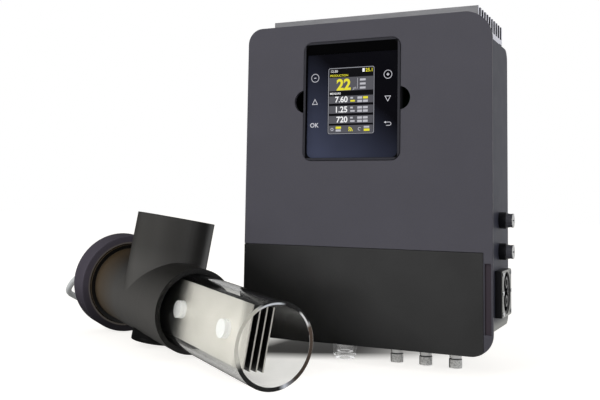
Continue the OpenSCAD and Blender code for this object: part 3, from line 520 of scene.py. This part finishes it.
def jack_metal():
    """Nickel plate with a mottled lower sleeve; painted shade darkens its groove and the faces that look
    left.
    """
    paint = Paint("jack_nickel")
    base = colour("#f0efec")
    height = paint.along(UP, on_floor(0, 0, 0))
    low = paint.span(height, 1.0, 0.0, JACK_SLEEVE * MM, (JACK_SLEEVE + 0.4) * MM)
    mottle = paint.math("MULTIPLY", low, paint.span(paint.noise(1.3, 3), 0.0, 0.6, 0.45, 0.65))
    groove = paint.within(UP, on_floor(0, 0, JACK_GROOVE), 0.6)
    body = paint.blend(low, base, shade(base, 0.9))
    body = paint.blend(mottle, body, shade(base, 0.3))
    # Painted shade in the groove and on faces that look left.
    body = paint.blend(groove, body, shade(base, 0.12))
    body = paint.blend(paint.toward(-RIGHT), body, shade(base, 0.04))
    soft, _ = paint.rounded(0.25)
    normal = paint.bump(paint.noise(0.8, 2), 0.01, 0.2, soft)
    roughness = paint.span(paint.noise(1.2, 3), 0.14, 0.26)
    return paint.set(Base_Color=body, Metallic=0.05, Roughness=roughness, Normal=normal)


# Painted reflections around the tube's end, by the share of a turn from the cell's Y axis toward its Z
# axis
RIM_TONES = (
    (0.00, "#4a3b30"), (0.085, "#5a4a3e"), (0.10, "#f4f4f4"), (0.15, "#f4f4f4"), (0.165, "#0c0c0c"),
    (0.235, "#0c0c0c"), (0.26, "#dfe3ea"), (0.32, "#dfe3ea"), (0.37, "#c9c6ba"), (0.48, "#d5d2c6"),
    (0.57, "#dcdad0"), (0.60, "#0c0c0c"), (0.80, "#0c0c0c"), (0.825, "#e2e6ee"), (0.845, "#8c8c90"),
    (0.875, "#3d332b"), (1.00, "#4a3b30"),
)


def rim_painted_reflections():
    """The end of the clear tube, with painted reflections of bright and dark surroundings in turn."""
    paint = Paint("tube_rim_painted_reflections")
    sides = [paint.along(axis, CELL.translation) for axis in (CELL_Z, CELL_Y)]
    turn = paint.math("FRACT", paint.math("DIVIDE", paint.math("ARCTAN2", *sides), 2 * math.pi), 0.0)
    ramp = paint.tree.nodes.new("ShaderNodeValToRGB")
    paint.put(ramp.inputs[0], turn)
    first, last = ramp.color_ramp.elements
    first.position, first.color = RIM_TONES[0][0], colour(RIM_TONES[0][1])
    last.position, last.color = RIM_TONES[-1][0], colour(RIM_TONES[-1][1])
    for place, code in RIM_TONES[1:-1]:
        ramp.color_ramp.elements.new(place).color = colour(code)
    outer = paint.span(paint.radius(CELL), 0.0, 1.0, RIM_CREST * MM, (RIM_CREST + 0.4) * MM)
    begin = paint.span(turn, 0.0, 1.0, 0.08, 0.11)
    end = paint.span(turn, 1.0, 0.0, 0.33, 0.36)
    above = paint.math("MULTIPLY", begin, end)
    body = paint.blend(paint.math("MULTIPLY", outer, above), ramp.outputs[0], colour("#0c0c0c"))
    speck = paint.span(paint.noise(0.9, 3), 0.0, 0.15)
    body = paint.blend(speck, body, colour("#808080"))
    return paint.set(Base_Color=body, Roughness=0.12, Specular_IOR_Level=0.1)


FINISHES = {
    "cover_grey": cover_plastic(),
    "lower_black": lower_plastic(),
    "housing_grey": housing_plastic(),
    "seal_rubber": moulded("seal_rubber", "#161616", rough=0.75, grain=0.3, depth=0.02),
    "steel": metal("zinc_steel", "#b8babd", rough=0.34, grain=(1, 1, 0.2), mark=0.4),
    "sink_aluminium": sink_metal(),
    "black_plastic": moulded(
        "black_plastic", "#111114", rough=0.42, grain=0.4, spread=0.12, edge=0.4, wear_and_highlight=2.2,
    ),
    "board_green": circuit_board("board_green", "#12331f"),
    "part_blue": moulded(
        "part_blue", "#2f5fa8", rough=0.3, grain=0.5, depth=0.01, spread=0.1, edge=0.4,
    ),
    "supply_grey": moulded("supply_grey", "#8d9095", rough=0.55, grain=0.8, depth=0.05),
    "terminal_green": moulded(
        "terminal_green", "#3f8f4e", rough=0.38, grain=0.5, depth=0.02, spread=0.1, edge=0.4,
    ),
    "bezel_grey": bezel_plastic(),
    "panel_black": gloss_panel(),
    "screen": moulded("screen_frame", "#101114", rough=0.2, grain=0.5, depth=0.01),
    "key_white": moulded("key_white", "#e0e0e2", rough=0.45, grain=0.4, depth=0.01),
    "fuse_glass": moulded("fuse_glass", "#cfd6d8", rough=0.15, grain=0.5, depth=0.01),
    "silver": metal("plated_silver", "#d4d5d7", rough=0.26, grain=(1, 1, 0.15), mark=0.3, spread=0.05),
    "nickel": jack_metal(),
    "gland_pale": pale_nylon(),
    "tee_black": tee_plastic(),
    "nut_dark": nut_plastic(),
    "tube_clear": clear_plastic(),
    "titanium": plate_metal(),
    "nylon_white": white_nylon("white_nylon"),
    "gland_grey": moulded("gland_grey", "#3d3d41", rough=0.42, grain=0.5),
    "cable_grey": moulded("cable_sheath", "#b9bcbd", rough=0.45, grain=0.5, spread=0.05),
}

# Nodes that don't take the finish of their slot
CAP = cap_plastic()
OWN_FINISHES = {
    "fuse_cap_1": CAP,
    "fuse_cap_2": CAP,
    "socket_face": socket_plate(),
    "socket_contacts": metal("contact_tin", "#5e5e5c", rough=0.4, mark=0.3, spread=0.08, edge=0.2),
    "plate_bolts": bolt_nylon(),
}


def dress_nodes():
    """Each CAD node gets its own finish, or else that of its slot in the record."""
    for part in frame["record"]["subparts"]:
        finish = OWN_FINISHES.get(part["node"], FINISHES[part["material_slot"]]).material
        mesh = nodes[part["node"]].data
        mesh.materials.clear()
        mesh.materials.append(finish)


dress_nodes()


# Softened edges on the CAD nodes that show
EDGES_MM = {
    "front_cover": 0.3, "lower_cover": 0.3, "housing": 0.7, "rear_housing": 0.9, "heat_sink": 0.3,
    "display_bezel": 0.5, "union_nut": 1.2, "socket_body": 0.5, "socket_face": 0.25, "plug_body": 1.2,
    "fuse_holders": 0.35, "wall_bracket": 0.5, "port_plug": 0.6, "electrode_head": 0.6,
}


def soften(name, width_mm):
    """Rounds a node's sharp edges with modifiers; the node's own mesh stays as it is."""
    node = nodes[name]
    weld = node.modifiers.new("weld", "WELD")
    weld.merge_threshold = 0.001 * MM
    flat = node.modifiers.new("flat", "DECIMATE")
    flat.decimate_type = "DISSOLVE"
    flat.angle_limit = math.radians(0.4)
    bevel = node.modifiers.new("edges", "BEVEL")
    bevel.width = width_mm * MM
    bevel.segments = 2
    bevel.limit_method = "ANGLE"
    bevel.angle_limit = math.radians(40)
    bevel.miter_outer = "MITER_ARC"
    node.modifiers.new("normals", "WEIGHTED_NORMAL")


for node_name, node_edge in EDGES_MM.items():
    soften(node_name, node_edge)


# The cell cable, on the same route as its CAD solids
CABLE_R = 3.5
COIL_MID = (-286, 195)
COIL_IN = 28.5
COIL_PITCH = 8.4
COIL_TURNS_IN = 2.375
COIL_CLIMB = 0.5
COIL_TURNS = 2 * COIL_TURNS_IN + COIL_CLIMB
COIL_OUT = COIL_IN + COIL_TURNS_IN * COIL_PITCH
COIL_LOW = 5
TURN_STEPS = 24
LEAD_RUNS = (150, 158, 170)
ENTRY_RUN = 9
END_L = 31
LOOSE_POINTS = (
    (-252, 95, 57.5), (-270, 98.5, 56), (-285, 98, 51.5), (-296, 99, 44.5), (-305, 102.5, 37),
    (-313, 109.5, 31), (-320, 120, 26), (-325.5, 132, 22), (-329.5, 145, 17.5), (-332, 158, 12.5),
    (-333.5, 170.5, 8),
)


def coil_point(turn):
    """In on the lower layer, half a turn up, then out on the upper layer."""
    inner = turn - COIL_TURNS_IN
    if inner < 0:
        radius = COIL_OUT - COIL_PITCH * turn
    else:
        radius = COIL_IN + COIL_PITCH * max(0, inner - COIL_CLIMB)
    height = COIL_LOW + COIL_PITCH * min(1, max(0, inner / COIL_CLIMB))
    angle = 2 * math.pi * turn
    x = COIL_MID[0] - radius * math.cos(angle)
    y = COIL_MID[1] + radius * math.sin(angle)
    return on_floor(x, y, height)


def cable_points():
    lead = [CELL @ Vector((-run, 0, 0)) for run in LEAD_RUNS]
    loose = [on_floor(*point) for point in LOOSE_POINTS]
    entry = [on_floor(COIL_MID[0] - COIL_OUT, COIL_MID[1] - ENTRY_RUN, COIL_LOW)]
    coil = [coil_point(k / TURN_STEPS) for k in range(round(COIL_TURNS * TURN_STEPS) + 1)]
    tail_y = COIL_MID[1] + COIL_OUT
    tail_runs = (8, END_L / 2 + 4, END_L)
    tail = [on_floor(COIL_MID[0] + run, tail_y, COIL_LOW + COIL_PITCH) for run in tail_runs]
    return lead + loose + entry + coil + tail


def make_cable():
    points = cable_points()
    data = bpy.data.curves.new("cell_lead", "CURVE")
    data.dimensions = "3D"
    data.bevel_depth = CABLE_R * MM
    data.bevel_resolution = 5
    data.resolution_u = 4
    data.use_fill_caps = True
    spline = data.splines.new("BEZIER")
    spline.bezier_points.add(len(points) - 1)
    for knot, point in zip(spline.bezier_points, points):
        knot.co = point
        knot.handle_left_type = "AUTO"
        knot.handle_right_type = "AUTO"
    cable = bpy.data.objects.new("cell_lead", data)
    scene.collection.objects.link(cable)
    data.materials.append(FINISHES["cable_grey"].material)
    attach(cable, "electrode")
    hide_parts("cell_cable", "cable_coil", "cable_end")


make_cable()


# Pieces made of faces
def mesh_object(bm, name, paint):
    """An object made of the gathered faces, with one material."""
    bmesh.ops.recalc_face_normals(bm, faces=bm.faces)
    mesh = bpy.data.meshes.new(name)
    bm.to_mesh(mesh)
    bm.free()
    mesh.materials.append(paint.material)
    made = bpy.data.objects.new(name, mesh)
    scene.collection.objects.link(made)
    return made


# Thin shapes on planes that face the front
INK = 0.06


class Print:
    """Flat shapes with a little thickness, gathered into one piece."""

    def __init__(self, y, thick=INK):
        self.bm = bmesh.new()
        self.y = y
        self.thick = thick

    def vert(self, point, back):
        return self.bm.verts.new(at(point[0], self.y + (self.thick if back else 0), point[1]))

    def band(self, outer, inner, closed=True):
        """A strip between two lines of points."""
        rows = [[self.vert(p, back) for p in line] for line in (outer, inner) for back in (False, True)]
        front_out, back_out, front_in, back_in = rows
        around = (front_in, front_out, back_out, back_in)
        count = len(outer)
        for i in range(count if closed else count - 1):
            j = (i + 1) % count
            for a, b in zip(around, around[1:] + around[:1]):
                self.bm.faces.new((a[i], a[j], b[j], b[i]))
        if not closed:
            for i in (0, count - 1):
                self.bm.faces.new((front_out[i], front_in[i], back_in[i], back_out[i]))

    def polygon(self, points):
        front = [self.vert(p, False) for p in points]
        back = [self.vert(p, True) for p in points]
        self.bm.faces.new(front)
        self.bm.faces.new(back[::-1])
        for i in range(len(points)):
            j = (i + 1) % len(points)
            self.bm.faces.new((front[j], front[i], back[i], back[j]))

    def plate(self, x0, z0, x1, z1, r=0.0):
        square = [(x0, z0), (x1, z0), (x1, z1), (x0, z1)]
        self.polygon(rounded_outline(x0, z0, x1, z1, r) if r else square)

    def words(self, text, x, z, height, align="LEFT", bold=0.0, spacing=1.0):
        """Text whose tallest sign has the given height; z is its foot."""
        curve = bpy.data.curves.new("words", "FONT")
        curve.body = text
        curve.align_x = align
        curve.extrude = self.thick * MM / 2
        curve.offset = bold
        curve.space_character = spacing
        temp = bpy.data.objects.new("words", curve)
        scene.collection.objects.link(temp)
        evaluated = temp.evaluated_get(bpy.context.evaluated_depsgraph_get())
        mesh = bpy.data.meshes.new_from_object(evaluated)
        heights = [v.co.y for v in mesh.vertices]
        scale = height * MM / (max(heights) - min(heights))
        foot = at(x, self.y + self.thick / 2, z)
        for v in mesh.vertices:
            v.co = foot + Vector((v.co.x * scale, -v.co.z, (v.co.y - min(heights)) * scale))
        self.bm.from_mesh(mesh)
        bpy.data.meshes.remove(mesh)
        bpy.data.objects.remove(temp)
        bpy.data.curves.remove(curve)

    def piece(self, name, paint, body, slot):
        piece = mesh_object(self.bm, name, paint)
        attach(piece, body)


def arc(x, z, r, start, end, steps):
    """Points on a circle, in degrees anticlockwise from the right."""
    angles = [math.radians(start + (end - start) * k / steps) for k in range(steps + 1)]
    return [(x + r * math.cos(a), z + r * math.sin(a)) for a in angles]


def rounded_outline(x0, z0, x1, z1, r):
    corners = ((x1 - r, z0 + r, -90), (x1 - r, z1 - r, 0), (x0 + r, z1 - r, 90), (x0 + r, z0 + r, 180))
    return [p for x, z, start in corners for p in arc(x, z, r, start, start + 90, 6)]


# Display
PANEL_Y = 3.0
SCREEN_MID = (109.1, 225.3)
SCREEN_SIZE = (47.2, 63.6)
GLASS_SUNK = 0.25
GLASS_T = 0.9
KEY_COLUMNS = (72.2, 145.7)
KEY_ROWS = (248.1, 225.3, 202.6)
KEY_RING = 4.1
LINE = 0.5


def triangle(x, z, size, up):
    sign = 1 if up else -1
    return [(x - size, z - sign * size * 0.8), (x + size, z - sign * size * 0.8), (x, z + sign * size)]


def make_icons():
    icons = Print(PANEL_Y - INK)
    left, right = KEY_COLUMNS
    top, middle, low = KEY_ROWS
    for x in KEY_COLUMNS:
        icons.band(arc(x, top, KEY_RING, 0, 350, 35), arc(x, top, KEY_RING - LINE, 0, 350, 35))
    icons.plate(left - 1.2, top - 0.35, left + 1.2, top + 0.35)
    icons.plate(right - 1.3, top - 0.42, right + 1.3, top + 0.42)
    icons.plate(right - 0.42, top + 0.42, right + 0.42, top + 1.3)
    icons.plate(right - 0.42, top - 1.3, right + 0.42, top - 0.42)
    icons.band(triangle(left, middle - 0.4, 3.1, True), triangle(left, middle - 0.55, 2.2, True))
    icons.band(triangle(right, middle + 0.4, 3.1, False), triangle(right, middle + 0.55, 2.2, False))
    icons.words("OK", left - 0.4, low - 2.1, 4.3, "CENTER", 0.014, 1.04)
    back_arrow(icons, right, low)
    # The printed icons are given a painted glow.
    icons.piece("panel_icons", lit("icon_print", "#cfcfd6"), "display", "key_white")


def back_arrow(icons, x, z):
    """A return arrow: a head at the left, a bar, and a turn at the right."""
    bend = (x + 1.7, z - 0.35)
    lines = []
    for inset in (0, LINE):
        turn = arc(*bend, 1.75 - inset, 90, -90, 12)
        lines.append([(x - 1.6, z + 1.4 - inset), *turn, (x - 1.4, z - 2.1 + inset)])
    icons.band(*lines, closed=False)
    icons.polygon([(x - 3.7, z + 1.14), (x - 1.6, z + 0.05), (x - 1.6, z + 2.25)])


def screen_spot(u, v):
    """A place on the screen: u from its left, v from its top, as shares."""
    x = SCREEN_MID[0] + (u - 0.5) * SCREEN_SIZE[0]
    z = SCREEN_MID[1] + (0.5 - v) * SCREEN_SIZE[1]
    return x, z


def screen_plate(sheet, u0, v0, u1, v1, r=0.0):
    x0, z0 = screen_spot(u0, v1)
    x1, z1 = screen_spot(u1, v0)
    sheet.plate(x0, z0, x1, z1, r)


def screen_words(sheet, text, u, v, height, align="LEFT", bold=0.0):
    x, z = screen_spot(u, v)
    sheet.words(text, x, z, height * SCREEN_SIZE[1], align, bold)


READINGS = (("7.60", 0.430, 0.540), ("1.25", 0.575, 0.690), ("720", 0.725, 0.840))


def make_screen():
    face = PANEL_Y + GLASS_SUNK
    glass = Print(face, GLASS_T)
    screen_plate(glass, 0.006, 0.004, 0.994, 0.996, 1.9)
    glass.piece("screen_glass", lit("screen_dark", "#08080d"), "display", "screen")
    make_screen_frame(face)
    make_screen_bands(face - INK)
    make_screen_text(face - 2 * INK)


def make_screen_frame(face):
    edge = Print(face - INK)
    x0, z0 = screen_spot(0.008, 0.994)
    x1, z1 = screen_spot(0.992, 0.006)
    edge.band(
        rounded_outline(x0, z0, x1, z1, 1.9),
        rounded_outline(x0 + 0.6, z0 + 0.6, x1 - 0.6, z1 - 0.6, 1.4),
    )
    edge.piece("screen_edge", lit("screen_edge", "#96979e"), "display", "screen")


def make_screen_bands(y):
    bands = Print(y)
    screen_plate(bands, 0.03, 0.152, 0.97, 0.352)
    for _, top, low in READINGS:
        screen_plate(bands, 0.03, top, 0.97, low)
    screen_plate(bands, 0.03, 0.868, 0.97, 0.978)
    bands.piece("screen_bands", lit("screen_grey", "#57575d"), "display", "screen")


def make_screen_text(y):
    white = Print(y)
    yellow = Print(y)
    pale = Print(y)
    screen_words(white, "12:30", 0.05, 0.074, 0.038)
    screen_plate(white, 0.74, 0.03, 0.79, 0.084, 0.3)
    screen_words(yellow, "25.1", 0.805, 0.084, 0.052, bold=0.02)
    screen_words(yellow, "PRODUCTION", 0.045, 0.138, 0.032, bold=0.01)
    screen_words(yellow, "22", 0.19, 0.345, 0.172, bold=0.035)
    screen_words(pale, "g/h", 0.54, 0.345, 0.045)
    screen_plate(pale, 0.635, 0.17, 0.643, 0.33)
    for v in (0.183, 0.243, 0.303):
        screen_plate(pale, 0.69, v, 0.81, v + 0.03)
    screen_words(white, "MEASURE", 0.045, 0.405, 0.03, bold=0.01)
    for row in READINGS:
        marked = yellow if row == READINGS[0] else pale
        make_reading(white, pale, marked, *row)
    make_status_row(yellow, pale)
    white.piece("screen_white", lit("screen_white", "#f4f4f6"), "display", "screen")
    yellow.piece("screen_yellow", lit("screen_yellow", "#e8df3a"), "display", "screen")
    pale.piece("screen_pale", lit("screen_pale", "#bdbdc4"), "display", "screen")


def make_reading(white, pale, marked, text, top, low):
    """A number with small bars beside it; two of the bars go on the marked sheet."""
    screen_words(white, text, 0.432, low - 0.014, 0.09, "RIGHT", 0.02)
    screen_plate(pale, 0.49, top + 0.02, 0.545, top + 0.045)
    screen_plate(marked, 0.49, low - 0.045, 0.585, low - 0.02)
    bars = ((pale, 0.64, 0.018), (pale, 0.64, 0.068), (marked, 0.76, 0.018), (pale, 0.76, 0.068))
    for sheet, u, v in bars:
        screen_plate(sheet, u, top + v, u + 0.1, top + v + 0.033)


def make_status_row(yellow, pale):
    x, z = screen_spot(0.10, 0.925)
    pale.band(arc(x, z, 1.5, 0, 340, 17), arc(x, z, 0.9, 0, 340, 17))
    screen_plate(yellow, 0.18, 0.885, 0.295, 0.917)
    screen_plate(pale, 0.18, 0.928, 0.29, 0.958)
    x, z = screen_spot(0.455, 0.958)
    for r in (1.2, 2.7, 4.2):
        yellow.band(arc(x, z, r, 0, 90, 8), arc(x, z, max(0.2, r - 0.8), 0, 90, 8), closed=False)
    x, z = screen_spot(0.69, 0.925)
    pale.band(arc(x, z, 1.6, 30, 300, 14), arc(x, z, 1.1, 30, 300, 14), closed=False)
    screen_plate(pale, 0.78, 0.885, 0.895, 0.912)
    screen_plate(yellow, 0.78, 0.924, 0.9, 0.958)


make_icons()
make_screen()


# A dark bead in the joint between the covers
BEAD_Y = 0.7
BEAD_T = 2.8
BEAD_ENDS = (0.5, 233.2)
BEAD_HEIGHTS = (88.15, 88.45)


def make_joint_bead():
    bead = Print(BEAD_Y, BEAD_T)
    bead.plate(BEAD_ENDS[0], BEAD_HEIGHTS[0], BEAD_ENDS[1], BEAD_HEIGHTS[1])
    bead.piece("joint_bead", FINISHES["seal_rubber"], "box", "seal_rubber")


make_joint_bead()


# The end of the clear tube, a ring with painted reflections
RIM_STEPS = 96
RIM_IN = 31.75
RIM_OUT = 34.85
RIM_END = TUBE_END + 0.04


def make_tube_rim():
    bm = bmesh.new()
    angles = [2 * math.pi * k / RIM_STEPS for k in range(RIM_STEPS)]
    rows = []
    for run, radius in ((TUBE_END, RIM_IN), (RIM_END, RIM_IN), (RIM_END, RIM_OUT), (TUBE_END, RIM_OUT)):
        spots = [CELL @ Vector((run, radius * math.cos(a), radius * math.sin(a))) for a in angles]
        rows.append([bm.verts.new(spot) for spot in spots])
    for row, after in zip(rows, rows[1:] + rows[:1]):
        for i in range(RIM_STEPS):
            j = (i + 1) % RIM_STEPS
            bm.faces.new((row[i], row[j], after[j], after[i]))
    rim = mesh_object(bm, "tube_rim", rim_painted_reflections())
    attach(rim, "box")


make_tube_rim()


# Floor, light and background; lamps stand in metres from the frame's origin
AMBIENT = 0.52
DARK_FRONT = 0.15
DARK_LEFT = 0.05


def make_world():
    """White where it is seen and an even sky for light; mirrors and glass see a dark left."""
    world = bpy.data.worlds.new("studio")
    world.use_nodes = True
    sky = Tree(world.node_tree)
    path = sky.source("LightPath")
    toward = sky.node("SeparateXYZ", {0: sky.source("TexCoord")["Generated"]}).outputs
    front = sky.span(toward["Y"], DARK_FRONT, 1.0, -0.55, 0.25)
    studio = sky.span(toward["X"], DARK_LEFT, front, -0.15, 0.1)
    level = sky.either(path["Is Glossy Ray"], AMBIENT, studio)
    through = sky.span(toward["X"], DARK_LEFT, 1.0, -0.9, -0.7)
    level = sky.either(path["Is Transmission Ray"], level, through)
    level = sky.either(path["Is Camera Ray"], level, 1.0)
    back = sky.tree.nodes["Background"].inputs
    sky.put(back["Color"], (1, 1, 1, 1))
    sky.put(back["Strength"], level)
    scene.world = world


FLOOR_LIFT = 0.8
FLOOR_HALF = 6
FLOOR_Z = -0.0004


def seen_directly(paint):
    """1 for rays from the camera and through glass, otherwise 0."""
    path = paint.source("LightPath")
    return paint.math("MAXIMUM", path["Is Camera Ray"], path["Is Transmission Ray"])


def under_box(paint):
    """0.95 in the shade below the left half of the box, less to its right, 0 away from it."""
    across = paint.along(RIGHT, at(0, 0, 0))
    left = paint.span(across, 0.0, 0.95, -25 * MM, 10 * MM)
    right = paint.span(across, 1.0, 0.0, 80 * MM, 220 * MM, "SMOOTHSTEP")
    slanted = paint.along(Vector((-0.48, 0.877, 0)), at(25, -25, 0))
    front = paint.span(slanted, 0.0, 1.0, 0.0, 36 * MM)
    back = paint.span(paint.along(BACK, at(0, 0, 0)), 1.0, 0.0, 110 * MM, 170 * MM)
    sideways = paint.math("MULTIPLY", left, right)
    return paint.math("MULTIPLY", sideways, paint.math("MULTIPLY", front, back))


def make_floor():
    """A pale floor that keeps the cast shadow, with a painted shadow below the box, and is white where
    nothing shades it.
    """
    mesh = bpy.data.meshes.new("floor")
    signs = ((-1, -1), (1, -1), (1, 1), (-1, 1))
    corners = [(x * FLOOR_HALF, y * FLOOR_HALF, FLOOR_Z) for x, y in signs]
    mesh.from_pydata(corners, [], [(0, 1, 2, 3)])
    paint = Paint("floor_card")
    box_shadow_paint = under_box(paint)
    cloud = paint.span(paint.noise(300, 2), 0, 1)
    base = paint.blend(cloud, (0.5, 0.49, 0.475, 1), (0.52, 0.51, 0.495, 1))
    # Painted shadow below the box: a darker floor with no lift.
    base = paint.blend(box_shadow_paint, base, (0.1, 0.1, 0.098, 1))
    paint.set(Base_Color=base, Roughness=0.9, Specular_IOR_Level=0.0)
    lift = paint.span(box_shadow_paint, FLOOR_LIFT, 0.0, 0.0, 1.0)
    lift = paint.math("MULTIPLY", seen_directly(paint), lift)
    paint.set(Emission_Color=(1, 0.985, 0.96, 1), Emission_Strength=lift)
    mesh.materials.append(paint.material)
    floor = bpy.data.objects.new("floor", mesh)
    scene.collection.objects.link(floor)
    floor.visible_glossy = False


def make_lamp(name, place, target, size, power, tint=(1, 1, 1), mirrored=True):
    data = bpy.data.lights.new(name, "AREA")
    data.shape = "RECTANGLE"
    data.size, data.size_y = size
    data.energy = power
    data.color = tint
    lamp = bpy.data.objects.new(name, data)
    scene.collection.objects.link(lamp)
    lamp.visible_glossy = mirrored
    lamp.visible_transmission = mirrored
    lamp.location = place
    lamp.rotation_euler = (Vector(target) - Vector(place)).to_track_quat("-Z", "Y").to_euler()


make_world()
make_floor()
make_lamp("key", (-0.7, -2.8, 1.7), target=(-0.05, 0.0, 0.1), size=(1.1, 1.1), power=22)
make_lamp("low", (0.1, -2.2, 0.12), target=(0.1, 0.0, 0.05), size=(1.0, 0.2), power=14, mirrored=False)
make_lamp("left", (-2.0, -0.9, 0.15), target=(-0.1, 0.0, 0.05), size=(1.0, 0.4), power=20, mirrored=False)
make_lamp(
    "fill", (1.5, -0.2, 0.7), target=(0.1, 0.05, 0.15), size=(0.9, 1.2), power=2.5, tint=(0.85, 0.9, 1.0),
)

scene.view_settings.view_transform = "Standard"
